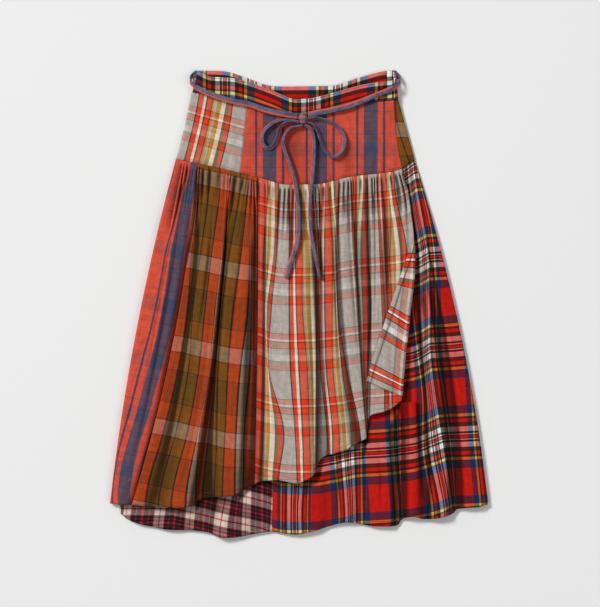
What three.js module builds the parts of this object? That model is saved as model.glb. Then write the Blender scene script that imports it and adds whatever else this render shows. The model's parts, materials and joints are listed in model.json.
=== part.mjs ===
import * as THREE from "three";

// A patchwork skirt lying on its back on a flat surface, front up, waist open, its belt tied in a bow.
// It has a tartan waistband, a yoke pieced from three cloths, and two gathered layers sewn to the yoke:
// an over skirt of three cloths that wraps to the right, where its free edge is turned back on itself,
// and a longer under skirt of two cloths that shows down the right side and along the hem.
// Millimetres. +X is the viewer's right across the front, +Y runs from hem to waist, +Z is up.

// Driving dimensions: walls, the gap at each seam, and the height of each layer's upper face where it is flat
const CLOTH = 1.5;
const BAND_WALL = 2.4;
const SEAM_GAP = 0.3;
const TUCK = 1;
const UNDER_LEVEL = 4.0;
const OVER_LEVEL = 8.4;
const YOKE_LEVEL = 9.0;
const YOKE_RIGHT_LEVEL = 6.4;
const BAND_FOOT_LEVEL = 12.4;
const BAND_TOP_LEVEL = 15;
const BELT_WIDTH = 9.6;
const BELT_THICKNESS = 1.8;
const BAND_FLOOR = BELT_THICKNESS + SEAM_GAP;
const BELT_LEVEL = BAND_TOP_LEVEL + SEAM_GAP + BELT_THICKNESS;
const YOKE_HEAD_LEVEL = BAND_FOOT_LEVEL - BAND_WALL - SEAM_GAP;

// How far the cloth of a side fold runs on underneath to its side seam, and the facets of the fold's round
const SIDE_RETURN = 17;
const TURN_FACETS = 5;

// Rows of each panel as shares of its length, closer together where gathers or hems need them
const OVER_ROWS = [0, 0.02, 0.05, 0.09, 0.15, 0.23, 0.35, 0.5, 0.65, 0.78, 0.9, 1];
const UNDER_ROWS = [0, 0.025, 0.06, 0.12, 0.2, 0.34, 0.48, 0.6, 0.65, 0.7, 0.75, 0.8, 0.85, 0.9, 0.95, 1];
const EBONY_ROWS = [0, 0.025, 0.06, 0.12, 0.3, 0.5, 0.7, 0.8, 0.85, 0.9, 0.95, 1];
const YOKE_ROWS = [0, 0.08, 0.2, 0.35, 0.65, 1];
const BAND_ROWS = [0, 0.5, 1];
// x of the columns that both back pieces share
const BACK_STATIONS = [168, 148, 120, 95, 65, 45, 29, 12, -5, -20, -35, -65, -95, -125, -149, -166];
const OVER_COLUMNS = 3;
const UNDER_COLUMNS = 2;

const { lerp, clamp, smoothstep, degToRad } = THREE.MathUtils;
const smooth = (from, to, x) => smoothstep(x, from, to);
const range = (n) => Array.from({ length: n + 1 }, (_, i) => i / n);
const vec = (x, y, z) => new THREE.Vector3(x, y, z);

// A smooth curve through given values that never swings past them.
function through(at, value) {
  const last = at.length - 1;
  const step = (i) => (value[i + 1] - value[i]) / (at[i + 1] - at[i]);
  const slopes = value.map((_, i) => {
    if (i === 0) return step(0);
    if (i === last) return step(last - 1);
    const [before, after] = [step(i - 1), step(i)];
    return before * after <= 0 ? 0 : (2 * before * after) / (before + after);
  });
  return (x) => {
    let i = 0;
    while (i < last - 1 && x > at[i + 1]) i++;
    const width = at[i + 1] - at[i];
    const s = clamp((x - at[i]) / width, 0, 1);
    const held = value[i] * (1 + 2 * s) * (1 - s) ** 2 + value[i + 1] * s * s * (3 - 2 * s);
    return held + width * s * (1 - s) * (slopes[i] * (1 - s) - slopes[i + 1] * s);
  };
}

// The value at t of the parabola that starts at a, passes b halfway and ends at c.
const bow = (a, b, c, t) => a * (1 - t) * (1 - 2 * t) + b * 4 * t * (1 - t) + c * t * (2 * t - 1);
const bowOf = (edge, t) => bow(edge.head, edge.mid, edge.foot, t);

// Seam lines and edges that cross the skirt, seen from above, as [x, y]
const line = (points) => through(points.map((p) => p[0]), points.map((p) => p[1]));
const yokeSeam = line([[-216, 255], [-149, 241], [-65, 221], [-20, 210], [29, 211], [91, 224], [158, 232],
  [180, 238], [203, 253]]);
const waistSeam = line([[-187, 372], [-119, 362], [-65, 349], [7, 331], [80, 344], [136, 356], [174, 360]]);
const frontBandTop = line([[-178, 408], [-154, 398], [-119, 396], [-89, 389], [-47, 374], [-5, 359], [16, 360],
  [73, 374], [115, 385], [170, 392]]);
const backBandTop = line([[-178, 410], [-135, 409], [-94, 398], [-54, 384], [-33, 382], [54, 383], [107, 398],
  [150, 409], [170, 411]]);
const overHem = line([[-332, -349], [-301, -351], [-223, -355], [-183, -351], [-156, -337], [-114, -334],
  [-72, -311], [-2, -313], [31, -292], [51, -263], [98, -247], [118, -235], [121, -196], [156, -186],
  [178.5, -169]]);

// Edges that run down the skirt: x at the head, halfway and at the foot of the piece
const BAND_LEFT = { head: -178, mid: -182.5, foot: -187 };
const BAND_RIGHT = { head: 170, mid: 172, foot: 174 };
const YOKE_LEFT = { head: -189, mid: -201, foot: -216 };
const YOKE_RIGHT = { head: 174, mid: 190, foot: 203 };
const YOKE_DOVE_TO_CORAL = { head: -90, mid: -96, foot: -104 };
const YOKE_CORAL_TO_UMBER = { head: 166.5, mid: 171, foot: 180.6 };
const OVER_LEFT = { head: -216, mid: -285.5, foot: -331.5 };
const UNDER_RIGHT = { head: 203, mid: 282.6, foot: 332 };
const UNDER_INSET = 18.5;
const downSkirt = (y) => clamp((254 - y) / 602, 0, 1);
const overLeftAt = (y) => bowOf(OVER_LEFT, downSkirt(y));
const underRightAt = (y) => bowOf(UNDER_RIGHT, downSkirt(y));

// The over skirt's right edge, by the share of its length: a parabola, and how far the edge swings off it
const WRAP_EDGE = { head: 180, mid: 201, foot: 178.5 };
const wrapSwing = line([[0, 0], [0.12, 4], [0.25, 3.5], [0.45, 0], [0.65, -7], [0.78, -7.6], [0.9, -4.7], [1, 0]]);
const wrapEdge = (y) => {
  const t = clamp((238 - y) / 406, 0, 1);
  return bowOf(WRAP_EDGE, t) + wrapSwing(t);
};

// A closed cloth wall below a grid of points on its outer face. Rows run from waist to hem and columns from left
// to right as seen from outside. Each point may be puffed out along the normal, which shapes both faces.
function wall(grid, thickness, puff = () => 0) {
  const rows = grid.length;
  const columns = grid[0].length;
  const at = (j, i) => grid[clamp(j, 0, rows - 1)][clamp(i, 0, columns - 1)];
  const outer = [];
  const inner = [];
  grid.forEach((row, j) => row.forEach((point, i) => {
    const across = at(j, i + 1).clone().sub(at(j, i - 1));
    const down = at(j + 1, i).clone().sub(at(j - 1, i));
    const normal = down.cross(across).normalize();
    const lift = puff(j, i);
    outer.push(point.clone().addScaledVector(normal, lift));
    inner.push(point.clone().addScaledVector(normal, lift - thickness));
  }));
  const under = outer.length;
  const faces = [];
  const quad = (a, b, c, d) => faces.push(a, b, c, a, c, d);
  for (let j = 0; j < rows - 1; j++) {
    for (let i = 0; i < columns - 1; i++) {
      const a = j * columns + i;
      quad(a, a + columns, a + columns + 1, a + 1);
      quad(under + a, under + a + 1, under + a + columns + 1, under + a + columns);
    }
  }
  for (let i = 0; i < columns - 1; i++) {
    const foot = (rows - 1) * columns + i;
    quad(i, i + 1, under + i + 1, under + i);
    quad(foot + 1, foot, under + foot, under + foot + 1);
  }
  for (let j = 0; j < rows - 1; j++) {
    const left = j * columns;
    const right = left + columns - 1;
    quad(left + columns, left, under + left, under + left + columns);
    quad(right, right + columns, under + right + columns, under + right);
  }
  const geometry = new THREE.BufferGeometry().setFromPoints([...outer, ...inner]);
  geometry.setIndex(faces);
  return geometry;
}

// Points from the floor up round a side fold whose outermost x is edge. side is -1 at the left and 1 at the right.
// The first point is the end of the strip that runs on underneath. yAt gives y from x and the share of the way up.
function sideFold(edge, yAt, top, side, floor = 0) {
  const radius = (top - floor) / 2;
  const round = range(TURN_FACETS).map((s) => {
    const angle = Math.PI * (s - 0.5);
    const x = edge - side * radius * (1 - Math.cos(angle));
    return vec(x, yAt(x, s), floor + radius * (1 + Math.sin(angle)));
  });
  const end = edge - side * SIDE_RETURN;
  return [vec(end, yAt(end, 0), floor), ...round];
}

// A skirt panel is given by its fold lines, in order across the cloth. A row is a crest, a flank or the bed of a
// fold that runs from the yoke to the hem:
// [distance across the flat cloth, x at the yoke seam, x halfway, x at the hem, y at the hem, rise above its layer]
function foldedCloth(rows, swing = () => 0) {
  const cloth = rows.map((row) => row[0]);
  const [seam, mid, hem, drop, rise] = [1, 2, 3, 4, 5].map((key) => through(cloth, rows.map((row) => row[key])));
  const place = (c, t) => {
    const x = bow(seam(c), mid(c), hem(c), t) + swing(c, t);
    return { x, y: lerp(yokeSeam(seam(c)) - SEAM_GAP, drop(c), t), rise: rise(c) };
  };
  return { cloth, place, seam, drop };
}

const columnsOf = (cloth, perFold) => [
  ...cloth.slice(1).flatMap((c, i) => range(perFold).slice(0, -1).map((s) => lerp(cloth[i], c, s))),
  cloth[cloth.length - 1],
];

// Gathers stand proud just below the yoke and die away down the panel.
const GATHER_HEIGHT = 2.6;
const gatherFade = (t) => smooth(0, 0.06, t) * (1 - smooth(0.06, 0.3, t));
const edgeFade = (s) => smooth(0, 0.06, s) * (1 - smooth(0.94, 1, s));
const gathers = (rows, count, first, last) => (j, i) => {
  if (i < first || i > last) return 0;
  const s = (i - first) / (last - first);
  const wave = 0.5 + 0.5 * Math.cos(2 * Math.PI * count * s + Math.sin(9 * s));
  return GATHER_HEIGHT * gatherFade(rows[j]) * edgeFade(s) * wave;
};

// Over skirt: coral stripe round the left side, umber check, then dove check across the front
const CORAL_GATHERS = 4;
const UMBER_GATHERS = 9;
const DOVE_GATHERS = 22;

const coralCloth = foldedCloth([
  [0, -203, -262, -320, -350, 6],
  [14, -197, -250, -314, -350, 8],
  [38, -184, -228, -303, -351, 6],
  [48, -177.3, -218.3, -293.3, -351, 2],
]);
const umberCloth = foldedCloth([
  [0, -177, -218, -293, -351, 2],
  [19, -173, -200, -270, -353, 3],
  [39, -156, -186, -243, -354, 9],
  [61, -138, -167, -222, -355, 13],
  [82, -124, -150, -201, -355, 12],
  [96, -122, -145, -184, -351, 5],
  [107, -121, -144, -177, -344, 1],
  [119, -119, -142, -166, -339, 1],
  [140, -103, -139, -145, -337, 8],
  [161, -89, -122, -134, -336, 12],
  [182, -84, -100, -115, -334, 10],
  [200, -80, -82, -98, -325, 5],
  [219, -71.5, -73, -78, -316, 2],
]);
const doveCloth = foldedCloth([
  [0, -71.2, -72.7, -77.7, -315, 2],
  [12, -60, -62, -68, -310, 7],
  [27, -52, -57.5, -57, -308, 10],
  [43, -45, -53, -39, -307, 8],
  [50, -39, -48, -31, -308, 5],
  [70, -27, -33, -16, -311, 6],
  [92, -16, -17, -2, -313, 10],
  [108, -7, -3, 7, -309, 13],
  [120, 2, 11, 18, -304, 14],
  [135, 10, 26, 26, -297, 11],
  [143, 16, 30, 30, -290, 7],
  [156, 23, 33, 33, -279, 2],
  [179, 30, 36, 39, -270, 0],
  [201, 35, 39, 52, -263, 4],
  [213, 42, 45, 58, -262, 8],
  [228, 52, 59, 70, -258, 10],
  [242, 61, 66, 85, -253, 8],
  [256, 66, 69, 95, -247, 5],
  [266, 72, 73, 105, -241, 7],
  [280, 79, 82, 112, -237, 12],
  [301, 89, 99, 117, -234, 11],
  [332, 98, 103, 119, -220, 3],
  [357, 110, 110, 121, -203, 1],
  [371, 119, 124, 123, -196, 3],
  [381, 126, 129, 127, -193, 8],
  [415, 138, 143, 150, -187, 7],
  [437, 150, 159, 162, -182, 3],
  [464, 161, 173, 170, -176, 4],
  [481, 170, 187, 175, -172, 3],
  [507, 180, 201, 178.5, -168, 4],
], (c, t) => wrapSwing(t) * smooth(400, 507, c));

const yokeLevel = (x) => lerp(YOKE_LEVEL, YOKE_RIGHT_LEVEL, smooth(110, 180, x));
const overHeight = (x, rise, t) => lerp(yokeLevel(x), OVER_LEVEL, smooth(0, 0.15, t)) + rise * smooth(0, 0.3, t);

function overGrid(cloth) {
  return OVER_ROWS.map((t) => columnsOf(cloth.cloth, OVER_COLUMNS).map((c) => {
    const { x, y, rise } = cloth.place(c, t);
    return vec(x, y, overHeight(x, rise, t));
  }));
}

// The over skirt's left fold stands this high at the hem.
const OVER_SIDE_LOFT = 12;

function coralGrid() {
  return overGrid(coralCloth).map((row, j) => {
    const t = OVER_ROWS[j];
    const top = lerp(YOKE_LEVEL, OVER_SIDE_LOFT, smooth(0, 0.2, t));
    const yAt = (x) => lerp(yokeSeam(x) - SEAM_GAP, -349, t);
    return [...sideFold(overLeftAt(lerp(254, -349, t)), yAt, top, -1), ...row];
  });
}

// The highest point of the over skirt or yoke within reach of a place, for whatever lies on them.
function frontTop(x, y, reach) {
  let top = yokeLevel(x);
  for (const { cloth, place, seam, drop } of [umberCloth, doveCloth]) {
    for (let c = 0; c <= cloth[cloth.length - 1]; c += 1.5) {
      const head = yokeSeam(seam(c));
      const t = (head - y) / (head - drop(c));
      if (t < 0 || t > 1.02) continue;
      const here = place(c, clamp(t, 0, 1));
      if (Math.abs(here.x - x) > reach) continue;
      top = Math.max(top, overHeight(here.x, here.rise, t) + GATHER_HEIGHT * gatherFade(t));
    }
  }
  return top;
}

// The free edge of the over skirt turned back over its face, wrong side up, from the fold at the right to the
// narrow hem down its left edge: share of its length, y at the left, x at the left, y at the fold
const turnedRows = [
  [0, 106, 195, 104],
  [0.12, 78, 187, 78],
  [0.3, 38, 173, 32],
  [0.5, -8, 157.5, -28],
  [0.7, -56, 141.5, -82],
  [0.86, -98, 127.5, -126],
  [1, -134, 118, -160],
];
const TURNED_ROWS = 13;
const TURNED_COLUMNS = 8;

function turnedGrid() {
  const share = turnedRows.map((row) => row[0]);
  const [leftY, leftX, foldY] = [1, 2, 3].map((key) => through(share, turnedRows.map((row) => row[key])));
  return range(TURNED_ROWS - 1).map((t) => {
    const across = range(TURNED_COLUMNS).map((s) => {
      const y = lerp(leftY(t), foldY(t), s);
      const x = lerp(leftX(t), wrapEdge(foldY(t)) - 1.5, s);
      return vec(x, y, frontTop(x, y, 4) + SEAM_GAP + CLOTH + 0.5 + 2 * t * Math.sin(Math.PI * s) ** 2);
    });
    const last = across[across.length - 1];
    return [...across, vec(last.x + 2.6, last.y, last.z - 0.6), vec(last.x + 3.7, last.y, last.z - 2.4)];
  });
}

// Under skirt: ebony check at the left and the back of the left side, crimson tartan across the front to the right
const underSeamLevel = (x) => yokeLevel(x) - CLOTH - SEAM_GAP;

// Folds of the under skirt stand up only where the over skirt leaves it bare.
function bared(x, y) {
  const belowHem = smooth(4, 34, (x < 178.5 ? overHem(x) : 400) - y);
  const besideWrap = smooth(6, 34, x - (y > -171 ? wrapEdge(y) : 160));
  return x < 178.5 && y > -171 ? belowHem : Math.max(belowHem * (x < 178.5 ? 1 : 0), besideWrap);
}

const ebonyCloth = foldedCloth([
  [0, -189, -258, -302, -376, 4],
  [24, -176, -240, -282, -384, 6],
  [52, -158, -215, -256, -390, 3],
  [84, -138, -185, -226, -395, 6],
  [116, -118, -155, -192, -396, 2.5],
  [150, -98, -125, -160, -399, 5],
  [176, -82, -104, -134, -409, 9],
  [200, -66, -84, -110, -408, 6],
  [228, -50, -62, -82, -403, 3],
  [266, -30.3, -40.3, -47.3, -398, 2],
]);
const crimsonCloth = foldedCloth([
  [0, -30, -40, -47, -398, 2],
  [42, -4, -6, -8, -403, 6],
  [78, 24, 27, 27, -397, 7],
  [106, 45, 50, 52, -389, 3],
  [140, 68, 78, 84, -382, 7],
  [166, 88, 100, 108, -385, 3],
  [196, 108, 122, 135, -389, 7],
  [222, 126, 145, 158, -389, 6],
  [240, 136, 157, 173, -387, 1.5],
  [248, 140, 162, 178, -380, 1],
  [262, 148, 172, 183, -375, 6],
  [288, 162, 192, 200, -372, 12],
  [314, 172, 207, 221, -376, 6],
  [334, 179, 221, 238, -375, 11],
  [358, 184, 236, 256, -371, 12],
  [374, 188, 245, 270, -366, 4],
  [384, 190, 250, 277, -359, 3],
  [406, 193, 261, 299, -356, 9],
  [424, 196, 269, 316, -355, 9],
]);

const UNDER_SIDE_LOFT = 10;
const CRIMSON_GATHERS = 14;

// The head of each under panel is tucked below the yoke, where it stands clear of the surface.
const underHead = (t) => (TUCK + SEAM_GAP) * (1 - smooth(0, 0.025, t));
const underFlat = (x, t) => lerp(underSeamLevel(x), UNDER_LEVEL, smooth(0, 0.06, t));

function underGrid(cloth, rows) {
  return rows.map((t) => columnsOf(cloth.cloth, UNDER_COLUMNS).map((c) => {
    const { x, y, rise } = cloth.place(c, t);
    return vec(x, y + underHead(t), underFlat(x, t) + rise * smooth(0.02, 0.3, t) * bared(x, y));
  }));
}

function underSide(edge, foot, top, side, t) {
  return sideFold(edge, (x) => lerp(yokeSeam(x) - SEAM_GAP, foot, t), top, side);
}

const EBONY_FOOT = -368;
const CRIMSON_FOOT = -351;

function ebonyGrid() {
  return underGrid(ebonyCloth, EBONY_ROWS).map((row, j) => {
    const t = EBONY_ROWS[j];
    const edge = overLeftAt(lerp(250, EBONY_FOOT, t)) + UNDER_INSET;
    return [...underSide(edge, EBONY_FOOT, underFlat(-190, t), -1, t), ...row];
  });
}

function crimsonGrid() {
  return underGrid(crimsonCloth, UNDER_ROWS).map((row, j) => {
    const t = UNDER_ROWS[j];
    const top = lerp(underSeamLevel(200), UNDER_SIDE_LOFT, smooth(0.02, 0.3, t));
    const edge = underRightAt(lerp(253, CRIMSON_FOOT, t));
    return [...row, ...underSide(edge, CRIMSON_FOOT, top, 1, t).reverse()];
  });
}

// The back of the under skirt lies flat on the surface between the two side seams.
function underBackGrid() {
  return range(10).map((t) => {
    const left = overLeftAt(lerp(250, EBONY_FOOT, t)) + UNDER_INSET + SIDE_RETURN + SEAM_GAP;
    const right = underRightAt(lerp(253, CRIMSON_FOOT, t)) - SIDE_RETURN - SEAM_GAP;
    const [from, to] = [185.7, -181];
    return [from, ...BACK_STATIONS, to].map((station) => {
      const s = (from - station) / (from - to);
      const foot = lerp(CRIMSON_FOOT, EBONY_FOOT, s) - 24 * Math.sin(Math.PI * s);
      return vec(lerp(right, left, s), lerp(yokeSeam(station) - SEAM_GAP, foot, t), 0);
    });
  });
}

// Yoke: rows run from just under the waistband to the seam that holds the gathers
const yokeHead = (x) => {
  const awayFromSides = smooth(-178, -168, x) * (1 - smooth(150, 160, x));
  return waistSeam(x) - 2 * SEAM_GAP + (TUCK + 2 * SEAM_GAP) * awayFromSides;
};
const yokeY = (x, t) => lerp(yokeHead(x), yokeSeam(x), t);
const yokeRow = (edgeFrom, edgeTo, t, columns) => range(columns).map((s) => {
  const x = lerp(bowOf(edgeFrom, t), bowOf(edgeTo, t), s);
  return vec(x, yokeY(x, t), lerp(YOKE_HEAD_LEVEL, yokeLevel(x), smooth(0, 0.3, t)));
});
const inset = (edge, by) => ({ head: edge.head + by, mid: edge.mid + by, foot: edge.foot + by });

function yokeLeftGrid() {
  return YOKE_ROWS.map((t) => {
    const row = yokeRow(inset(YOKE_LEFT, 7), YOKE_DOVE_TO_CORAL, t, 9);
    return [...sideFold(bowOf(YOKE_LEFT, t), (x) => yokeY(x, t), row[0].z, -1), ...row];
  });
}

function yokeBackGrid() {
  return YOKE_ROWS.map((t) => {
    const front = yokeRow(inset(YOKE_CORAL_TO_UMBER, SEAM_GAP), inset(YOKE_RIGHT, -4.2), t, 4);
    const last = front[front.length - 1];
    const end = bowOf(YOKE_LEFT, t) + SIDE_RETURN + SEAM_GAP;
    const back = [lerp(169, 185.7, t), ...BACK_STATIONS.map((x) => x * lerp(0.97, 1, t)), end].map((x) => {
      return vec(x, yokeY(x, t), 0);
    });
    const round = sideFold(bowOf(YOKE_RIGHT, t), (x) => yokeY(x, t), last.z, 1).slice(1).reverse();
    return [...front.slice(0, -1), ...round, ...back];
  });
}

// Waistband: the front piece turns round both sides, and the back piece lies between its ends
function bandFrontGrid() {
  const columns = 32;
  return BAND_ROWS.map((t) => {
    const sideY = (x, s) => lerp(lerp(backBandTop(x), frontBandTop(x), s), waistSeam(x), t);
    const [left, right] = [bowOf(BAND_LEFT, t), bowOf(BAND_RIGHT, t)];
    const top = lerp(BAND_TOP_LEVEL, BAND_FOOT_LEVEL, t);
    const heightAt = (x) => lerp(frontBandTop(x), waistSeam(x), t);
    const front = range(columns).map((s) => lerp(left + 7, right - 7, s)).map((x) => vec(x, heightAt(x), top));
    const leftRound = sideFold(left, sideY, top, -1, BAND_FLOOR);
    const rightRound = sideFold(right, sideY, top, 1, BAND_FLOOR).reverse();
    return [...leftRound, ...front, ...rightRound];
  });
}

function bandBackGrid() {
  return BAND_ROWS.map((t) => range(24).map((s) => {
    const right = bowOf(BAND_RIGHT, t) - SIDE_RETURN - SEAM_GAP;
    const left = bowOf(BAND_LEFT, t) + SIDE_RETURN + SEAM_GAP;
    const x = lerp(right, left, s);
    return vec(x, lerp(backBandTop(x), waistSeam(x), t), BAND_FLOOR);
  }));
}

// Belt strap: rows of [x, y, tilt in degrees of its width out of the level], and a height at each.
function strapGrid(rows, samples, heightAt) {
  const share = rows.map((_, i) => i / (rows.length - 1));
  const curve = new THREE.CatmullRomCurve3(rows.map(([x, y]) => vec(x, y, 0)), false, "centripetal");
  const tilt = through(share, rows.map((row) => degToRad(row[2])));
  const places = range(samples).map((s) => curve.getPoint(s));
  const heights = range(samples).map((s, i) => heightAt(places[i], tilt(s), s));
  const ease = (i) => {
    const near = [-2, -1, 0, 1, 2].map((k) => heights[clamp(i + k, 0, samples)]);
    return Math.max(...near);
  };
  const points = range(samples).map((s, i) => {
    const eased = (ease(Math.max(i - 1, 0)) + ease(i) + ease(Math.min(i + 1, samples))) / 3;
    return { at: vec(places[i].x, places[i].y, eased), along: curve.getTangent(s), tilt: tilt(s) };
  });
  return [0.5, 0, -0.5].map((w) => points.map(({ at, along, tilt: angle }) => {
    const flat = vec(-along.y, along.x, 0).multiplyScalar(Math.cos(angle));
    const width = flat.add(vec(0, 0, Math.sin(angle)));
    return at.clone().addScaledVector(width, w * BELT_WIDTH);
  }));
}

// The strap round the waist, from the knot round the right side, behind, and back round the left side to the knot
const beltRight = line([[13.6, 331.5], [50.8, 338.6], [84.7, 346.3], [118, 358.8], [140, 367.7], [162.8, 377],
  [180, 385]]);
const beltLeft = line([[-192, 385], [-186, 382], [-170, 373.5], [-146, 364], [-118.6, 356], [-87, 349.5],
  [-55, 338.5], [-23, 332], [0.4, 328.5]]);

function beltGrid() {
  const rise = (y, dy, w) => y + w * (BELT_WIDTH + dy);
  const strip = (xs, curve, z, w) => xs.map((x) => vec(x, rise(curve(x), 0.4, w), z));
  const backLine = (x) => backBandTop(x) - 4.5;
  return [0.5, 0, -0.5].map((w) => {
    const right = strip(range(16).map((s) => lerp(15.4, 166, s)), beltRight, BELT_LEVEL, w);
    const left = strip(range(18).map((s) => lerp(-180, -1.5, s)), beltLeft, BELT_LEVEL, w);
    const back = strip(range(26).map((s) => lerp(158, -166, s)), backLine, 0, w);
    const round = (edge, side, front, back) =>
      sideFold(edge, (x, s) => lerp(back, front, s) + w * (BELT_WIDTH + 0.4), BELT_LEVEL, side).slice(1);
    const rightRound = round(178, 1, beltRight(172), backLine(165)).reverse();
    const leftRound = round(-191.5, -1, beltLeft(-186), backLine(-176));
    return [...right, ...rightRound, ...back, ...leftRound, ...left];
  });
}

// Loops stand on edge, tails lie half over. Each row is x, y and the tilt of the strap's width.
const loopLeftRows = [
  [0.1, 320.8, 80], [-10, 323, 82], [-20, 324, 82], [-31, 323.4, 80], [-43, 319.6, 80], [-54.4, 312, 80],
  [-62.5, 303, 82], [-65.6, 292, 84], [-64.4, 283, 84], [-60, 275.6, 82], [-53.6, 272.5, 80], [-47.4, 274.8, 80],
  [-42, 281.4, 80], [-37.8, 290.3, 80], [-35.4, 299, 82], [-33, 307, 84], [-28.5, 313.6, 84], [-21.5, 317.6, 84],
  [-12, 318.4, 84], [0, 317.2, 84],
];
const loopRightRows = [
  [15.3, 323.6, 80], [22, 325, 82], [31, 325.2, 80], [49, 320, 78], [64.6, 311.9, 72], [75.8, 298.4, 64],
  [79, 282.8, 60], [73.5, 267, 68], [64.6, 259.4, 78], [55.7, 260.4, 82], [45.5, 271.6, 82], [37.8, 289.5, 82],
  [32, 306, 82], [26, 314.8, 82], [14.8, 319.6, 82],
];
const tailLeftRows = [
  [6.2, 314.7, 70], [-1, 313, 70], [-7, 312.2, 70], [-14, 310, 68], [-20.5, 304.5, 66], [-25.6, 297, 64], [-28.4, 288, 62],
  [-28, 278, 60], [-24.6, 266, 58], [-19.6, 253, 56], [-14.4, 237.7, 52], [-9.8, 224.4, 48], [-5, 198, 44],
  [-2, 168, 42], [-1.4, 136, 40], [-4.6, 106, 38], [-13, 79, 34], [-21, 52, 28], [-22.6, 46, 26],
];
const tailRightRows = [
  [9.6, 312.3, 62], [14, 310.8, 60], [19, 306.6, 56], [23, 300, 52], [25, 289, 48], [25.4, 276, 46], [25, 260, 46],
  [24, 242, 48], [22.2, 218, 52], [19.4, 190, 58], [18.2, 158, 62], [20.2, 128.6, 62], [24.5, 102, 64],
  [29.4, 75, 66], [34.4, 52, 68], [35.6, 46, 68],
];

const standing = (angle) => (BELT_WIDTH / 2) * Math.sin(angle) + BELT_THICKNESS;
const onTheYoke = (place, angle) => YOKE_LEVEL + 0.5 + standing(angle);
const onTheFront = (place, angle) => frontTop(place.x, place.y, 5) + 0.4 + standing(angle);

// The knot: the strap wrapped round itself, so the pad has the ridges of two turns across it
const KNOT = { x: 7, y: 325.2, z: 18.6, halfWidth: 7.4, halfHeight: 9.6, halfDepth: 5.6 };

function knotGeometry() {
  const turns = 16;
  const levels = 11;
  const points = [vec(KNOT.x, KNOT.y + KNOT.halfHeight, KNOT.z)];
  for (let j = 1; j < levels; j++) {
    const polar = (Math.PI * j) / levels;
    for (let i = 0; i < turns; i++) {
      const angle = (2 * Math.PI * i) / turns;
      const ridge = 1 + 0.07 * Math.cos(4 * polar + 0.6 * Math.cos(angle));
      const ring = Math.sin(polar) ** 0.7 * ridge;
      points.push(vec(
        KNOT.x + KNOT.halfWidth * ring * Math.cos(angle),
        KNOT.y + KNOT.halfHeight * Math.cos(polar),
        KNOT.z + KNOT.halfDepth * ring * Math.sin(angle),
      ));
    }
  }
  points.push(vec(KNOT.x, KNOT.y - KNOT.halfHeight, KNOT.z));
  const ringPoint = (j, i) => 1 + (j - 1) * turns + (i % turns);
  const faces = [];
  for (let i = 0; i < turns; i++) {
    faces.push(0, ringPoint(1, i + 1), ringPoint(1, i));
    faces.push(points.length - 1, ringPoint(levels - 1, i), ringPoint(levels - 1, i + 1));
    for (let j = 1; j < levels - 1; j++) {
      faces.push(ringPoint(j, i), ringPoint(j, i + 1), ringPoint(j + 1, i + 1));
      faces.push(ringPoint(j, i), ringPoint(j + 1, i + 1), ringPoint(j + 1, i));
    }
  }
  const geometry = new THREE.BufferGeometry().setFromPoints(points);
  geometry.setIndex(faces);
  return geometry;
}

const COLOURS = {
  coral: "#d2553d", umber: "#6e4a22", dove: "#a39a92", ebony: "#2a2528", crimson: "#a81f1a", grape: "#6b6376",
};

// The outline's middle, which is put at the origin
const MIDDLE = { x: 0.3, y: 0.9 };

const skirt = new THREE.Group();
skirt.name = "patchwork_skirt";

function add(name, geometry, colour) {
  geometry.translate(-MIDDLE.x, -MIDDLE.y, 0);
  geometry.computeVertexNormals();
  const material = new THREE.MeshStandardMaterial({ color: COLOURS[colour], roughness: 0.85 });
  const mesh = new THREE.Mesh(geometry, material);
  mesh.name = name;
  skirt.add(mesh);
}

// The side fold at one end of a panel has this many columns, which stay ungathered.
const FOLD_COLUMNS = TURN_FACETS + 2;
const gathered = (grid, count, skip = 0) => wall(grid, CLOTH, gathers(OVER_ROWS, count, skip, grid[0].length - 1));
const underGathered = (grid, count) => {
  const full = gathers(UNDER_ROWS, count, 0, grid[0].length - 1 - FOLD_COLUMNS);
  return wall(grid, CLOTH, (j, i) => full(j, i) * smooth(6, 16, grid[j][i].x - wrapEdge(grid[j][i].y)) * 0.6);
};

add("waistband_front", wall(bandFrontGrid(), BAND_WALL), "crimson");
add("waistband_back", wall(bandBackGrid(), BAND_WALL), "crimson");
add("yoke_front_left", wall(yokeLeftGrid(), CLOTH), "dove");
const yokeRightGrid = YOKE_ROWS.map((t) => yokeRow(inset(YOKE_DOVE_TO_CORAL, SEAM_GAP), YOKE_CORAL_TO_UMBER, t, 26));
add("yoke_front_right", wall(yokeRightGrid, CLOTH), "coral");
add("yoke_back", wall(yokeBackGrid(), CLOTH), "umber");
add("over_side_panel", gathered(coralGrid(), CORAL_GATHERS, FOLD_COLUMNS), "coral");
add("over_middle_panel", gathered(overGrid(umberCloth), UMBER_GATHERS), "umber");
add("over_wrap_panel", gathered(overGrid(doveCloth), DOVE_GATHERS), "dove");
add("over_wrap_turned_edge", wall(turnedGrid(), CLOTH), "dove");
add("under_left_panel", wall(ebonyGrid(), CLOTH), "ebony");
add("under_front_panel", underGathered(crimsonGrid(), CRIMSON_GATHERS), "crimson");
add("under_back_panel", wall(underBackGrid(), CLOTH), "crimson");
add("belt_round_waist", wall(beltGrid(), BELT_THICKNESS), "grape");
add("bow_knot", knotGeometry(), "grape");
add("bow_loop_left", wall(strapGrid(loopLeftRows, 40, onTheYoke), BELT_THICKNESS), "grape");
add("bow_loop_right", wall(strapGrid(loopRightRows, 36, onTheYoke), BELT_THICKNESS), "grape");
add("bow_tail_left", wall(strapGrid(tailLeftRows, 44, onTheFront), BELT_THICKNESS), "grape");
add("bow_tail_right", wall(strapGrid(tailRightRows, 40, onTheFront), BELT_THICKNESS), "grape");

export default skirt;
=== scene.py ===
import json
import math
from bisect import bisect

import bmesh
import bpy
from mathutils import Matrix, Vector
from mathutils.bvhtree import BVHTree

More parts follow.
